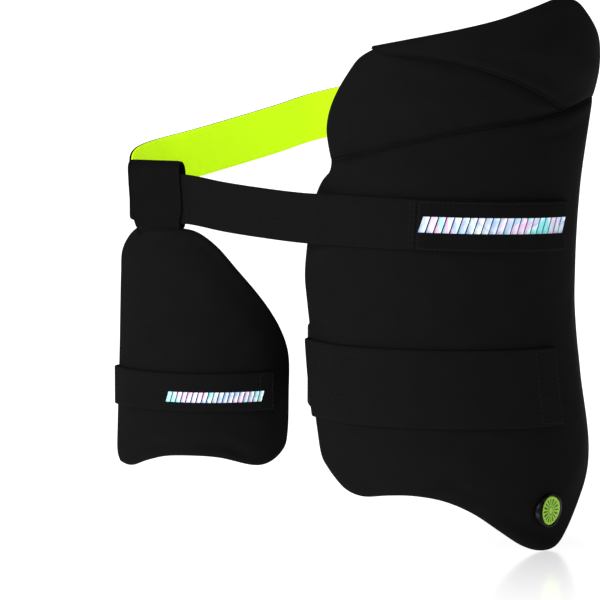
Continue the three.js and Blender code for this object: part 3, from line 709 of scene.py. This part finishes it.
def sewn_guides(shape, z, width, thickness):
    """Guides of a strap's sewn end, which laps the lining at the pad's right side."""
    form = shape["form"]
    edge = side_reach(shape, z, width / 2, "right") - form["rim"] / 4
    x = edge - np.array([0, 0.5, 1]) * SEWN_LAP
    return guides_on(form, x, np.full(3, z), width, np.full(3, -CLEARANCE - thickness))


def free_guides(points, width):
    """Guides on a free stretch, upright: their height is the width times the run's length over its
    level length, so that a climbing strap keeps its width."""
    points = np.asarray(points, float)
    run = np.concatenate([points[1:2] - points[:1], points[2:] - points[:-2], points[-1:] - points[-2:-1]])
    tall = width * np.linalg.norm(run, axis=1) / np.linalg.norm(run[:, :2], axis=1)
    v = np.zeros((len(points), 3, 3))
    v[..., 2] = np.array([-0.5, 0, 0.5]) * tall[:, None]
    return points[:, None, :] + v


def through_guides(guides):
    """Strap surface: the three guide lines become curves, sampled together about a step apart."""
    count = int(run_length(guides[:, 1])[-1] / STRAP_STEP) + 2
    return spline(guides.reshape(-1, 9), count).reshape(-1, 3, 3)


def belt_guides():
    """The belt's way from its tab on the outer pad, through the hanger loop and round the back."""
    shape = SHAPES["main_panel"]
    free = join(*(np.array(BELT_FREE[key]) * WAIST[size]
                  for key, size in (("aside", "half"), ("behind", "depth"), ("rise", "tilt"))))
    z = OUTER["bottom"] + BELT_SEWN_UP * OUTER["height"]
    total = LINING["thickness"] + CLEARANCE + BELT["thickness"]
    return np.concatenate([face_guides(shape, BELT_ON_PAD, BELT["width"]), free_guides(free, BELT["width"]),
                           sewn_guides(shape, z, BELT["width"], total)])


def limb_guides(shape, table, free_table, sizes):
    """A strap's way over a pad's face, round its left rim, round the limb and back to its lining."""
    form = shape["form"]
    z = form["bottom"] + form["height"] * table["up"][0]
    free = join(centre_at(form, table["up"][0]) + form["radius"] * np.array(free_table["aside"]),
                form["y"] + form["radius"] * np.array(free_table["behind"]), z)
    width = sizes["width"]
    return np.concatenate([face_guides(shape, table, width), rim_guides(shape, z, width),
                           free_guides(free, width), sewn_guides(shape, z, width, sizes["thickness"])])


def surface_point(surface, index, across, out):
    """Points of a strap's surface at a fractional step, a share across its width and a distance out."""
    index = np.asarray(index, float)
    across = np.asarray(across, float)
    steps = np.arange(len(surface))
    lines = rows_at(index, steps, surface.reshape(-1, 9)).reshape(index.shape + (3, 3))
    run = rows_at(index, steps, np.gradient(surface[:, 1], axis=0))
    rise = lines[..., 2, :] - lines[..., 0, :]
    normal = unit(np.cross(rise, run))
    v = across[..., None] * 2
    bend = (lines[..., 0, :] + lines[..., 2, :]) / 2 - lines[..., 1, :]
    place = lines[..., 1, :] + rise / 2 * v + bend * v * v
    return place + normal * np.asarray(out, float)[..., None]


def strap_piece(name, surface, inner, outer, width_share=1.0, start=0.0, end=None, flare=None,
                broad=None):
    """Webbing: a flat section with rounded edges carried along a surface, thinner at its cut ends. A
    flare (step, reach, share) widens its lower edge about a step, and broad (step, share) widens all of
    it past a step. Its UV map is in metres, along and across."""
    end = len(surface) - 1 if end is None else end
    cut_steps = np.array([0, 0.06, 0.2, 0.42])
    middle_steps = np.linspace(start + 0.7, end - 0.7, max(int(round(end - start)), 3))
    index = np.concatenate([start + cut_steps, middle_steps, end - cut_steps[::-1]])
    taper = np.ones(len(index))
    taper[:3] = taper[:-4:-1] = (0.45, 0.8, 0.97)
    count = len(index)
    half = (outer - inner) / 2
    width = np.linalg.norm(surface[0, 2] - surface[0, 0]) * width_share
    edge = half / width
    v = np.concatenate([[-0.5 + edge * 0.3], np.linspace(-0.5 + edge, 0.5 - edge, 11), [0.5 - edge * 0.3]])
    out = np.concatenate([[half * 0.7], np.full(11, half), [half * 0.7]])
    across = np.concatenate([[-0.5], v, [0.5], v[::-1]])
    out = np.concatenate([[0], out, [0], -out[::-1]])
    grid_index = np.repeat(index[:, None], len(across), axis=1)
    place = np.broadcast_to(across * width_share, grid_index.shape)
    if flare:
        centre, reach, size = flare
        place = place * (1 + size * (across < 0) * np.exp(-((grid_index - centre) / reach) ** 2))
    if broad:
        place = place * (1 + broad[1] * np.clip((grid_index - broad[0]) / 4, 0, 1))
    points = surface_point(surface, grid_index, place, (inner + outer) / 2 + out[None] * taper[:, None])
    rings = points.shape[1]
    length = run_length(points[:, 0])
    k = np.arange(rings // 2 - 1)
    cap = np.stack([k, k + 1, rings - 1 - k, (rings - k) % rings], axis=1)
    quads = np.concatenate([tube_quads(count, rings), cap[:, ::-1], cap + (count - 1) * rings])
    piece = make_mesh(name, points.reshape(-1, 3), quads)
    set_uv(piece, join(length[:, None], across[None] * width).reshape(-1, 2))
    return piece


def stitch_row(lines, normals, length):
    """Stitches along lines: a small lens for each, a stitch long with a third of that between them."""
    around = np.linspace(0, 2 * np.pi, 7)[:-1]
    stations = np.array([-1, -0.7, 0, 0.7, 1])
    thick = STITCH_RADIUS * np.array([0.15, 0.75, 1, 0.75, 0.15])[:, None]
    lens = join(stations[:, None] * length / 2, np.cos(around) * thick, np.sin(around) * thick)
    rows, sides = lens.shape[:2]
    ends = np.array([[0, 5, 4, 3], [3, 2, 1, 0]])
    quads = np.concatenate([tube_quads(rows, sides), ends, (ends + (rows - 1) * sides)[:, ::-1]])
    points = []
    for line, normal in zip(lines, normals):
        count = max(int(run_length(line)[-1] / (length * STITCH_SPACING)), 1)
        both = resample(np.concatenate([line, normal], axis=1), 2 * count + 1)[1::2]
        spot, out = both[:, :3], unit(both[:, 3:])
        ahead = unit(np.diff(resample(line, 2 * count + 1)[::2], axis=0))
        ways = np.stack([ahead, np.cross(out, ahead), out], axis=1)
        points.append((spot[:, None, None] + lens @ ways[:, None]).reshape(-1, 3))
    points = np.concatenate(points)
    return points, copies(quads, rows * sides, len(points) // (rows * sides))


def stitch_piece(name, rows):
    """One mesh of all the stitches on some rows, each a line with its outward directions."""
    points, quads = stitch_row(*zip(*rows), bpy.context.scene.guard_sizes.stitch)
    return settle(make_mesh(name, points, quads), "thread")


def steps_at(surface, distances):
    """Fractional steps of a strap's surface at distances along its middle line."""
    return np.interp(distances, run_length(surface[:, 1]), np.arange(len(surface)))


def strap_row(surface, distance, across, out):
    """A line on a strap and its outward directions: a row along it or across it. A distance out below
    zero lies on its inner side."""
    distance, across = np.broadcast_arrays(np.asarray(distance, float), np.asarray(across, float))
    index = steps_at(surface, distance)
    line = surface_point(surface, index, across, out)
    return line, surface_point(surface, index, across, out + np.copysign(0.001, out)) - line


def box_rows(surface, start, end, span, out, count=40):
    """Four rows of stitches round a box on a strap."""
    run, rise = np.linspace(start, end, count), np.linspace(-span, span, count)
    return ([strap_row(surface, run, side, out) for side in (-span, span)]
            + [strap_row(surface, at, rise, out) for at in (start, end)])


def lap_rows(surface):
    """Rows of stitches round the box of a strap's sewn end, on its inner side."""
    total = run_length(surface[:, 1])[-1]
    return box_rows(surface, total - SEWN_LAP + LAP_MARGIN, total - LAP_MARGIN, LAP_SPAN, -0.0001, 30)


def reflective_bars(name, surface, sizes, out, slant=0.28):
    """Segmented heat-pressed tape: slanted bars of even pitch laid on a strap, each a thin slab."""
    width = np.linalg.norm(surface[0, 2] - surface[0, 0])
    start, end, middle, height, bar = (sizes[key] for key in ("start", "end", "middle", "height", "bar"))
    room = end - start - height * slant - bar
    count = int(round(room / sizes["pitch"])) + 1
    pitch = room / (count - 1)
    begin = start + height * slant / 2
    k = np.arange(count)[:, None, None]
    u = np.linspace(0, 1, 3)[None, :, None]
    v = np.linspace(-0.5, 0.5, 5)[None, None]
    distance = begin + k * pitch + u * bar - v * height * slant
    across = middle + v * height / width + 0 * distance
    index = steps_at(surface, distance)
    top, low = (surface_point(surface, index, across, lift) for lift in (out + BAR_THICKNESS, out))
    points, quads = slab(top[0], low[0])
    both = np.concatenate([top.reshape(count, -1, 3), low.reshape(count, -1, 3)], axis=1).reshape(-1, 3)
    return make_mesh(name, both, copies(quads, len(points), count))


def set_inputs(tree, node, inputs):
    """Gives a node's inputs their values, and links those whose value is another node's socket."""
    for key, value in inputs.items():
        if isinstance(value, bpy.types.NodeSocket):
            tree.links.new(value, node.inputs[key])
        else:
            node.inputs[key].default_value = value


def add_node(tree, kind, inputs, **settings):
    """Adds a shader node with its settings and its inputs."""
    node = tree.nodes.new("ShaderNode" + kind)
    for key, value in settings.items():
        setattr(node, key, value)
    set_inputs(tree, node, inputs)
    return node


def math_node(tree, operation, *values):
    """Result of a math node on sockets and numbers."""
    return add_node(tree, "Math", dict(enumerate(values)), operation=operation).outputs[0]


def add_times(tree, a, b, share):
    """Result a + b share of two math nodes."""
    return math_node(tree, "ADD", a, math_node(tree, "MULTIPLY", b, share))


def flat_uv(tree):
    """Socket of the UV map, and a node with its two values."""
    uv = add_node(tree, "UVMap", {}, uv_map="Flat").outputs["UV"]
    return uv, add_node(tree, "SeparateXYZ", {0: uv})


def weave_group():
    """Weave: warp and weft threads from the UV map in metres, each a rounded wave that goes over and
    under, with soft mottling. Puts out a height and a shade: painted shade, lighter on the threads' crests
    and darker in the hollows between them, with the mottling on top."""
    group = bpy.data.node_groups.new("Weave", "ShaderNodeTree")
    for label, value in (("Across Pitch", 0.001), ("Along Pitch", 0.001), ("Mottle", 0.3)):
        socket = group.interface.new_socket(name=label, in_out="INPUT", socket_type="NodeSocketFloat")
        socket.default_value = value
    for label in ("Height", "Shade"):
        group.interface.new_socket(name=label, in_out="OUTPUT", socket_type="NodeSocketFloat")
    source = group.nodes.new("NodeGroupInput").outputs
    out = group.nodes.new("NodeGroupOutput")
    uv, split = flat_uv(group)
    threads = (math_node(group, "DIVIDE", split.outputs[axis], source[pitch])
               for axis, pitch in (("X", "Along Pitch"), ("Y", "Across Pitch")))
    along_wave, across_wave = (math_node(group, "MULTIPLY", thread, 2 * np.pi) for thread in threads)
    half_shift = add_times(group, along_wave, across_wave, 0.5)
    rib = math_node(group, "MULTIPLY", math_node(group, "COSINE", across_wave), 0.5)
    height = add_times(group, rib, math_node(group, "COSINE", half_shift), 0.32)
    noise = add_node(group, "TexNoise", {"Scale": 60, "Detail": 3, "Vector": uv})
    cloud = math_node(group, "SUBTRACT", noise.outputs["Fac"], 0.5)
    # Painted shade from the threads' height, lighter on their crests and darker in their hollows, plus random
    # mottling.
    shade = add_times(group, add_times(group, 1.0, height, 0.22), cloud, source["Mottle"])
    set_inputs(group, out, {"Height": height, "Shade": shade})
    return group


def new_material(name):
    """Material, with its node tree and its shader."""
    material = bpy.data.materials.new(name)
    material.use_nodes = True
    return material, material.node_tree, material.node_tree.nodes["Principled BSDF"]


def fabric(name, color, across_pitch, along_pitch, mottle, bump, roughness=0.9, specular=0.12):
    """Fabric material on the shared weave."""
    material, tree, shader = new_material(name)
    weave = add_node(tree, "Group", {}, node_tree=bpy.data.node_groups.get("Weave") or weave_group())
    set_inputs(tree, weave, {"Across Pitch": across_pitch, "Along Pitch": along_pitch, "Mottle": mottle})
    tint = add_node(tree, "Mix", {}, data_type="RGBA", blend_type="MULTIPLY")
    set_inputs(tree, tint, {"Factor": 1.0, "A": (*color, 1), "B": weave.outputs["Shade"]})
    relief = add_node(tree, "Bump", {"Strength": 0.7, "Distance": bump, "Height": weave.outputs["Height"]})
    set_inputs(tree, shader, {"Base Color": tint.outputs["Result"], "Normal": relief.outputs["Normal"],
                              "Roughness": roughness, "Specular IOR Level": specular})
    return material


def plain_material(name, color, roughness, specular=0.5, grain=0.00006, scale=900):
    """Moulded or threaded material: a colour broken by fine grain in Object coordinates."""
    material, tree, shader = new_material(name)
    coords = add_node(tree, "TexCoord", {})
    noise = add_node(tree, "TexNoise", {"Scale": scale, "Vector": coords.outputs["Object"]})
    ramp = add_node(tree, "ValToRGB", {"Fac": noise.outputs["Fac"]})
    for element, at, shade in zip(ramp.color_ramp.elements, (0.3, 0.7), (0.82, 1)):
        element.position = at
        element.color = (*[c * shade for c in color], 1)
    relief = add_node(tree, "Bump", {"Distance": grain, "Height": noise.outputs["Fac"]})
    set_inputs(tree, shader, {"Base Color": ramp.outputs["Color"], "Normal": relief.outputs["Normal"],
                              "Roughness": roughness, "Specular IOR Level": specular})
    return material


def pearl_film_with_painted_sheen(name):
    """Pearlescent film: noise in Object coordinates picks among pale tints along a ramp. The pale colour is
    the film's own, and the changing tints are a painted iridescent sheen.
    """
    material = plain_material(name, (0.8, 0.85, 0.9), 0.28, 0.5, 0.00002, 38)
    tree = material.node_tree
    noise = next(node for node in tree.nodes if node.type == "TEX_NOISE")
    set_inputs(tree, noise, {"Detail": 1.5, "Distortion": 1.2})
    ramp = next(node for node in tree.nodes if node.type == "VALTORGB").color_ramp
    # Painted sheen: cyan, white, violet and pink tints stand in for the film's iridescent reflections.
    tints = ((0.32, (0.25, 0.85, 0.9)), (0.4, (0.92, 0.98, 1.0)), (0.47, (0.42, 0.62, 0.98)),
             (0.53, (0.86, 0.8, 1.0)), (0.6, (0.9, 0.5, 0.86)), (0.68, (0.4, 0.9, 0.92)))
    for element, (at, tint) in zip(ramp.elements, (tints[0], tints[-1])):
        element.position = at
        element.color = (*tint, 1)
    for at, tint in tints[1:-1]:
        ramp.elements.new(at).color = (*tint, 1)
    return material


def plastic_with_painted_slot_shade(name, color):
    """Moulded plastic with painted shade: it is dark in its slots and its groove, which the UV map's first
    value marks.
    """
    material = plain_material(name, color, 0.4, 0.35)
    tree = material.node_tree
    shader = tree.nodes["Principled BSDF"]
    plain = shader.inputs["Base Color"].links[0].from_socket
    # Painted shade: the mix turns the slots and the groove dark.
    mix = add_node(tree, "Mix", {}, data_type="RGBA")
    set_inputs(tree, mix, {"Factor": flat_uv(tree)[1].outputs["X"], "A": plain, "B": (0.02, 0.045, 0.004, 1)})
    set_inputs(tree, shader, {"Base Color": mix.outputs["Result"]})
    return material


def material_of(kind):
    """The guard's materials, each made once."""
    name = "Guard " + kind
    found = bpy.data.materials.get(name)
    if found:
        return found
    sizes = bpy.context.scene.guard_sizes
    colours = bpy.context.scene.guard_colours
    knit, rib = sizes.knit_pitch, sizes.rib_pitch
    if kind == "cover":
        return fabric(name, colours.cover, knit, knit * 1.25, 0.35, 0.00012, specular=0.03)
    if kind == "elastic":
        return fabric(name, colours.elastic, rib, rib * 0.9, 0.25, 0.0003, specular=0.04)
    if kind == "lining":
        bright = fabric(name, colours.bright, knit, knit, 0.05, 0.0001, roughness=0.8, specular=0.1)
        tree = bright.node_tree
        # Painted glow: the lining emits light in its own colour, though it is no lamp, so that it stays
        # bright where it lies in shade.
        painted_glow = {"Emission Color": (*colours.bright, 1), "Emission Strength": 0.46}
        set_inputs(tree, tree.nodes["Principled BSDF"], painted_glow)
        return bright
    if kind == "tab":
        dark = [c * 0.9 for c in colours.elastic]
        return fabric(name, dark, knit * 0.8, knit * 0.8, 0.5, 0.00014, specular=0.03)
    if kind == "thread":
        return plain_material(name, [c * 2.2 for c in colours.elastic], 0.7, 0.1)
    if kind == "rim":
        return plain_material(name, (0.0013, 0.0013, 0.0017), 0.34, 0.07, 0.0)
    if kind == "pearl":
        return pearl_film_with_painted_sheen(name)
    return plastic_with_painted_slot_shade(name, tuple(colours.vent))


def settle(piece, kind, *nodes, slot=None):
    """Gives a piece its material and its body, and hides the CAD parts of the nodes that it stands for. The
    slot is not used.
    """
    piece.data.materials.clear()
    piece.data.materials.append(material_of(kind))
    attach(piece, "root")
    if nodes:
        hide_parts(*nodes)
    return piece


class GUARD_OT_foam(bpy.types.Operator):
    """Make the foam pads in their stretch cover."""

    bl_idname = "guard.foam"
    bl_label = "Foam pads"

    def execute(self, context):
        sizes = context.scene.guard_sizes
        for node, steps in FOAM_STEPS.items():
            piece = foam_piece(node, *steps, sizes.swell)
            puff(piece, SHAPES[node], sizes.swell)
            finish_modifier(piece, "SUBSURF", levels=1, render_levels=1)
            piece.data.shade_smooth()
            place_uv(piece, SHAPES[node]["form"])
            settle(piece, "cover", node, slot="cover_fabric")
        for name, table, start, end, above, below in (
            ("lower_crease_web", LOWER_CREASE, -0.3125, 0.5845, LOBE_FOOT_ROLL, PANEL_ROLL),
            ("upper_crease_web", UPPER_CREASE, -0.201, CREASE_JOIN, FLAP_ROLL, LOBE_HEAD_ROLL),
        ):
            settle(crease_web(name, table, start, end, above, below), "cover", slot="cover_fabric")
        return {"FINISHED"}


class GUARD_OT_belt(bpy.types.Operator):
    """Make the waist belt, its bright lining and its tab."""

    bl_idname = "guard.belt"
    bl_label = "Waist belt"

    def execute(self, context):
        surface = through_guides(belt_guides())
        seam = seam_index(surface)
        base = LINING["thickness"] + CLEARANCE
        face = base + TAB["thickness"]
        leftmost = float(np.argmin(surface[:, 1, 0]))
        lining = strap_piece("belt_lining_knit", surface, 0, LINING["thickness"],
                             LINING["width"] / BELT["width"], flare=LINING_FLARE,
                             broad=(leftmost, LINING_EXTRA))
        settle(lining, "lining", "belt_lining", slot="bright_lining")
        belt = strap_piece("waist_belt_elastic", surface, base, base + BELT["thickness"], start=seam)
        settle(belt, "elastic", "waist_belt", slot="elastic")
        tab = strap_piece("belt_tab_cloth", surface, base, face, end=seam - SEAM_GAP_STEPS)
        settle(tab, "tab", "belt_tab", slot="tab_fabric")
        length = float(np.interp(seam, np.arange(len(surface)), run_length(surface[:, 1])))
        rows = box_rows(surface, TAB_BOX["start"], length - TAB_BOX["short"], TAB_BOX["span"], face,
                        TAB_BOX["count"])
        rise = np.linspace(-BOX_SPAN, BOX_SPAN, 30)
        rows += [strap_row(surface, length + past, rise, base + BELT["thickness"]) for past in SEAM_ROWS]
        stitch_piece("belt_stitches", rows + lap_rows(surface))
        sizes = dict(TAB_BARS, end=length - TAB_BARS["short"])
        settle(reflective_bars("belt_tab_bars", surface, sizes, face), "pearl", slot="tab_fabric")
        return {"FINISHED"}


def seam_index(surface):
    """Step of the belt's surface where the tab is sewn on."""
    turn = BELT_SEAM * OUTER["width"] / OUTER["radius"]
    turns = np.arctan2(surface[:, 1, 0] - centre_at(OUTER, 0.6), OUTER["y"] - surface[:, 1, 1])
    return float(np.interp(-turn, -turns[:80], np.arange(80)))


class GUARD_OT_straps(bpy.types.Operator):
    """Make the two elastic straps that go round the thighs."""

    bl_idname = "guard.straps"
    bl_label = "Thigh straps"

    def execute(self, context):
        for node, pad, table, free, sizes in (
            ("thigh_strap", "main_panel", THIGH_STRAP_ON_PAD, THIGH_STRAP_FREE, THIGH_STRAP),
            ("inner_strap", "inner_pad", INNER_STRAP_ON_PAD, INNER_STRAP_FREE, INNER_STRAP),
        ):
            surface = through_guides(limb_guides(SHAPES[pad], table, free, sizes))
            top = sizes["thickness"]
            settle(strap_piece(node + "_elastic", surface, 0, top), "elastic", node, slot="elastic")
            rows = box_rows(surface, BOX_MARGIN, BOX_MARGIN + 0.35 * sizes["width"], BOX_SPAN, top)
            stitch_piece(node + "_stitches", rows + lap_rows(surface))
            if node == "inner_strap":
                settle(reflective_bars("inner_strap_bars", surface, INNER_BARS, top), "pearl", slot="elastic")
        return {"FINISHED"}


def hanger_surface(count=161):
    """Closed profile of the hanger loop, carried across its width. Below the loop both layers come
    together in a tongue that goes down into the pad's rim."""
    middle = (INNER_NECK["across"][0] + INNER_NECK["across"][-1]) / 2
    top = INNER["bottom"] + INNER_NECK["up"][1] * INNER["height"]
    neck = place_on(INNER, np.array(middle * INNER["width"]), np.array(top), np.array(INNER["rim"] / 2))
    yaw = np.radians(HANGER["yaw"])
    beside = np.array([np.cos(yaw), -np.sin(yaw), 0])
    outward = np.array([-np.sin(yaw), -np.cos(yaw), 0])
    foot = neck[2] + CLEARANCE + HANGER["thickness"] / 2
    out = np.array(LOOP_PROFILE["out"]) * HANGER["gap"] / 2
    rise = np.array(LOOP_PROFILE["up"]) * HANGER["height"]
    out = np.concatenate([TONGUE["out"], out, -np.array(TONGUE["out"][::-1])])
    rise = np.concatenate([TONGUE["up"], rise, TONGUE["up"][::-1]])
    profile = spline(np.stack([out, rise], axis=1), count)
    up = profile[:, 1] / HANGER["height"]
    width = HANGER["neck"] + (HANGER["width"] - HANGER["neck"]) * ease(up / 0.3)
    shift = HANGER["lean"] * np.maximum(up, 0) - HANGER["skew"] * profile[:, 0] / HANGER["gap"]
    centre = join(neck[0], neck[1], foot + profile[:, 1])
    centre = centre + profile[:, :1] * outward + shift[:, None] * beside
    return centre, beside, width


class GUARD_OT_hanger(bpy.types.Operator):
    """Make the folded loop that hangs the inner pad on the belt."""

    bl_idname = "guard.hanger"
    bl_label = "Hanger loop"

    def execute(self, context):
        centre, beside, width = hanger_surface()
        out = unit(np.cross(beside, np.gradient(centre, axis=0)))
        half = HANGER["thickness"] / 2
        v = np.linspace(-0.5, 0.5, 15)
        line = centre[:, None] + beside * (v[None, :, None] * width[:, None, None])
        soft = np.minimum(1, 0.35 + 12 * (0.5 - np.abs(v)))[None, :, None]
        points, quads = slab(line + out[:, None] * half * soft, line - out[:, None] * half * soft)
        piece = make_mesh("hanger_loop_cloth", points, quads)
        flat = join(run_length(centre)[:, None], v[None] * HANGER["width"]).reshape(-1, 2)
        set_uv(piece, np.concatenate([flat, flat]))
        settle(piece, "tab", "inner_pad_loop", slot="tab_fabric")
        rows = []
        for at in (6, 9):
            spot = centre[at] + out[at] * half
            row = spot + beside * (np.linspace(-BOX_SPAN, BOX_SPAN, 30)[:, None] * width[at])
            rows.append((row, np.repeat(out[at:at + 1], 30, axis=0)))
        stitch_piece("hanger_stitches", rows)
        return {"FINISHED"}


def vent_points(shape, radius, angle, rise, share):
    """Points of the vent at a radius and an angle: share 0 lies on the pad's face and share 1 in the
    plane that the vent faces, a rise over its middle."""
    form = shape["form"]
    x = VENT["across"] * form["width"]
    z = form["bottom"] + VENT["up"] * form["height"]
    turn = x / form["radius"] + np.radians(VENT["turn"])
    beside = np.array([np.cos(turn), np.sin(turn), 0])
    outward = np.array([np.sin(turn), -np.cos(turn), 0])
    right, up = radius * np.cos(angle), radius * np.sin(angle)
    middle, back = (
        place_on(form, flat[..., 0], flat[..., 1], face_lift(form, distance(shape["outline"], flat)) + lift)
        for flat, lift in ((np.array([x, z]), 0), (join(x + right, z + up), CLEARANCE)))
    rise = rise[..., None] * outward + up[..., None] * np.array([0, 0, 1])
    front = middle + right[..., None] * beside + rise
    thickness = (front - back) @ outward
    front = front + np.maximum(VENT["thinnest"] - thickness, 0)[..., None] * outward
    return back + (front - back) * share[..., None]


class GUARD_OT_vent(bpy.types.Operator):
    """Make the round vent: a rubber rim and a ribbed centre."""

    bl_idname = "guard.vent"
    bl_label = "Vent"

    def execute(self, context):
        shape = SHAPES["main_panel"]
        angle = np.linspace(0, 2 * np.pi, AROUND + 1)[:-1, None]
        rise = VENT["rise"]
        section = np.linspace(0, 2 * np.pi, RIM_STEPS + 1)[None, :-1]
        middle = (VENT["radius"] + VENT["disc"]) / 2
        half = (VENT["radius"] - VENT["disc"]) / 2 - CLEARANCE / 2
        radius = middle + CLEARANCE / 2 + half * np.cos(section) + 0 * angle
        share = 0.5 * (1 + np.sin(section)) + 0 * angle
        ring = vent_points(shape, radius, angle + 0 * section, np.full(radius.shape, rise), share)
        quads = grid_quads(AROUND, RIM_STEPS, looped=True, tube=True)
        rim = make_mesh("vent_rim_rubber", ring.reshape(-1, 3), quads)
        weld(rim, 1e-7)
        settle(rim, "rim", "vent_ring", slot="vent_rim")
        share = np.linspace(0.02, 1, 44)[None]
        radius = share * VENT["disc"] + 0 * angle
        spokes = np.clip((0.05 + 0.5 * np.cos(VENT["spokes"] * angle)) * 4, 0, 1)
        slot = spokes * band(share, *VENT["slots"])
        hub = band(share, *VENT["groove"])
        edge = np.sqrt(1 - ((share - 0.93) / 0.07).clip(0, 1) ** 2)
        top = rise * (0.55 + 0.25 * (1 - share**2) + 0.12 * edge) - VENT["slot"] * slot - VENT["hub"] * hub
        around = angle + 0 * share
        face = vent_points(shape, radius, around, top, np.ones(top.shape))
        base = vent_points(shape, radius[:, ::-1], around, top, np.zeros(top.shape))
        both = np.concatenate([face, base], axis=1)
        centres = np.stack([both[:, 0].mean(0), both[:, -1].mean(0)])
        points = np.concatenate([both.reshape(-1, 3), centres])
        quads = np.concatenate([grid_quads(AROUND, both.shape[1], looped=True), fans(AROUND, both.shape[1])])
        disc = make_mesh("vent_centre_ribbed", points, quads)
        # Mask of painted shade: the slots and the groove get a dark colour.
        dark = np.concatenate([np.maximum(slot, hub), 0 * slot], axis=1).ravel()
        set_uv(disc, np.stack([np.concatenate([dark, [0, 0]])] * 2, axis=1))
        weld(disc, 1e-7)
        settle(disc, "vent", "vent_disc", slot="vent_centre")
        return {"FINISHED"}


def band(share, low, high, slope):
    """1 between two shares and 0 outside, with straight slopes inside both ends."""
    return np.clip((share - low) * slope, 0, 1) * np.clip((high - share) * slope, 0, 1)


def fans(count, rows):
    """Quads that close the two open middles of a looped grid: each joins two steps to a centre, and the
    two centres are the points after the grid's own."""
    first = np.arange(0, count, 2)
    steps = np.stack([first, first + 1, (first + 2) % count], axis=1) * rows
    centre = count * rows
    upper = join(centre, *steps.T[::-1])
    lower = join(centre + 1, *(steps.T + rows - 1))
    return np.concatenate([upper, lower])


class GUARD_OT_stage(bpy.types.Operator):
    """Make the floor, the lights and the camera."""

    bl_idname = "guard.stage"
    bl_label = "Stage"

    def execute(self, context):
        scene = context.scene
        low = CAD_BOX[0][2] - FLOOR_GAP
        corners = np.array([[-12, -9], [12, -9], [-12, 30], [12, 30]], float)
        points = np.column_stack([corners, np.full(4, low)])
        floor = make_mesh("studio_floor", points, [[0, 1, 3, 2]])
        material, tree, shader = new_material("Studio floor")
        coords = add_node(tree, "TexCoord", {}).outputs["Object"]
        noise = add_node(tree, "TexNoise", {"Scale": 3, "Vector": coords})
        spread = add_node(tree, "MapRange", {"To Min": 0.19, "To Max": 0.21, "Value": noise.outputs["Fac"]})
        # Painted glow: the floor's emission is weakest below the pad's tip and rises further out, so that it
        # washes the mirror image away.
        away = add_node(tree, "VectorMath", {0: coords, 1: (*FLOOR_PAINTED_GLOW["centre"], low)}, operation="DISTANCE")
        painted_glow = add_node(tree, "MapRange", {"From Max": FLOOR_PAINTED_GLOW["reach"], "To Min": FLOOR_PAINTED_GLOW["strength"],
                                           "Value": away.outputs["Value"]})
        set_inputs(tree, shader, {
            "Base Color": (0.9, 0.9, 0.9, 1), "Metallic": 1.0, "Roughness": spread.outputs["Result"],
            "Emission Color": painted_glow.outputs["Result"], "Emission Strength": 1.0})
        floor.data.materials.append(material)
        world = bpy.data.worlds.new("Studio")
        world.use_nodes = True
        background = world.node_tree.nodes["Background"]
        set_inputs(world.node_tree, background, {"Color": (1, 1, 1, 1), "Strength": 0.34})
        scene.world = world
        for name, light in LIGHTS.items():
            area(name, **light)
        camera = bpy.data.cameras.new("Camera")
        camera.lens = CAMERA["lens"]
        camera.sensor_width = 36
        camera.clip_end = 50
        view = bpy.data.objects.new("Camera", camera)
        scene.collection.objects.link(view)
        tilt = np.radians(CAMERA["tilt"])
        back = CAMERA["distance"] * np.array([0, np.cos(tilt), -np.sin(tilt)])
        view.location = np.array(CAMERA["aim"]) - back
        view.rotation_euler = (np.pi / 2 - tilt, 0, 0)
        scene.camera = view
        scene.view_settings.view_transform = "Standard"
        return {"FINISHED"}


def area(name, place, aim, size, power):
    """Square soft light that faces a point."""
    light = bpy.data.lights.new(name, "AREA")
    light.size = size
    light.energy = power
    lamp = bpy.data.objects.new(name, light)
    lamp.location = place
    lamp.rotation_euler = (Vector(aim) - Vector(place)).to_track_quat("-Z", "Y").to_euler()
    bpy.context.scene.collection.objects.link(lamp)


class GUARD_PT_panel(bpy.types.Panel):
    """Lists the guard's pieces in the sidebar."""

    bl_idname = "GUARD_PT_panel"
    bl_label = "Thigh guard"
    bl_space_type = "VIEW_3D"
    bl_region_type = "UI"
    bl_category = "Guard"

    def draw(self, context):
        for owner in (context.scene.guard_sizes, context.scene.guard_colours):
            for key in owner.__annotations__:
                self.layout.prop(owner, key)
        for kind in OPERATORS:
            self.layout.operator(kind.bl_idname)


OPERATORS = (GUARD_OT_foam, GUARD_OT_belt, GUARD_OT_straps, GUARD_OT_hanger, GUARD_OT_vent, GUARD_OT_stage)
CLASSES = (GuardSizes, GuardColours, *OPERATORS, GUARD_PT_panel)


def register():
    for kind in CLASSES:
        bpy.utils.register_class(kind)
    bpy.types.Scene.guard_sizes = bpy.props.PointerProperty(type=GuardSizes)
    bpy.types.Scene.guard_colours = bpy.props.PointerProperty(type=GuardColours)


def unregister():
    del bpy.types.Scene.guard_colours
    del bpy.types.Scene.guard_sizes
    for kind in reversed(CLASSES):
        bpy.utils.unregister_class(kind)


def main():
    register()
    bpy.ops.guard.foam()
    bpy.ops.guard.belt()
    bpy.ops.guard.straps()
    bpy.ops.guard.hanger()
    bpy.ops.guard.vent()
    bpy.ops.guard.stage()


if __name__ == "__main__":
    main()
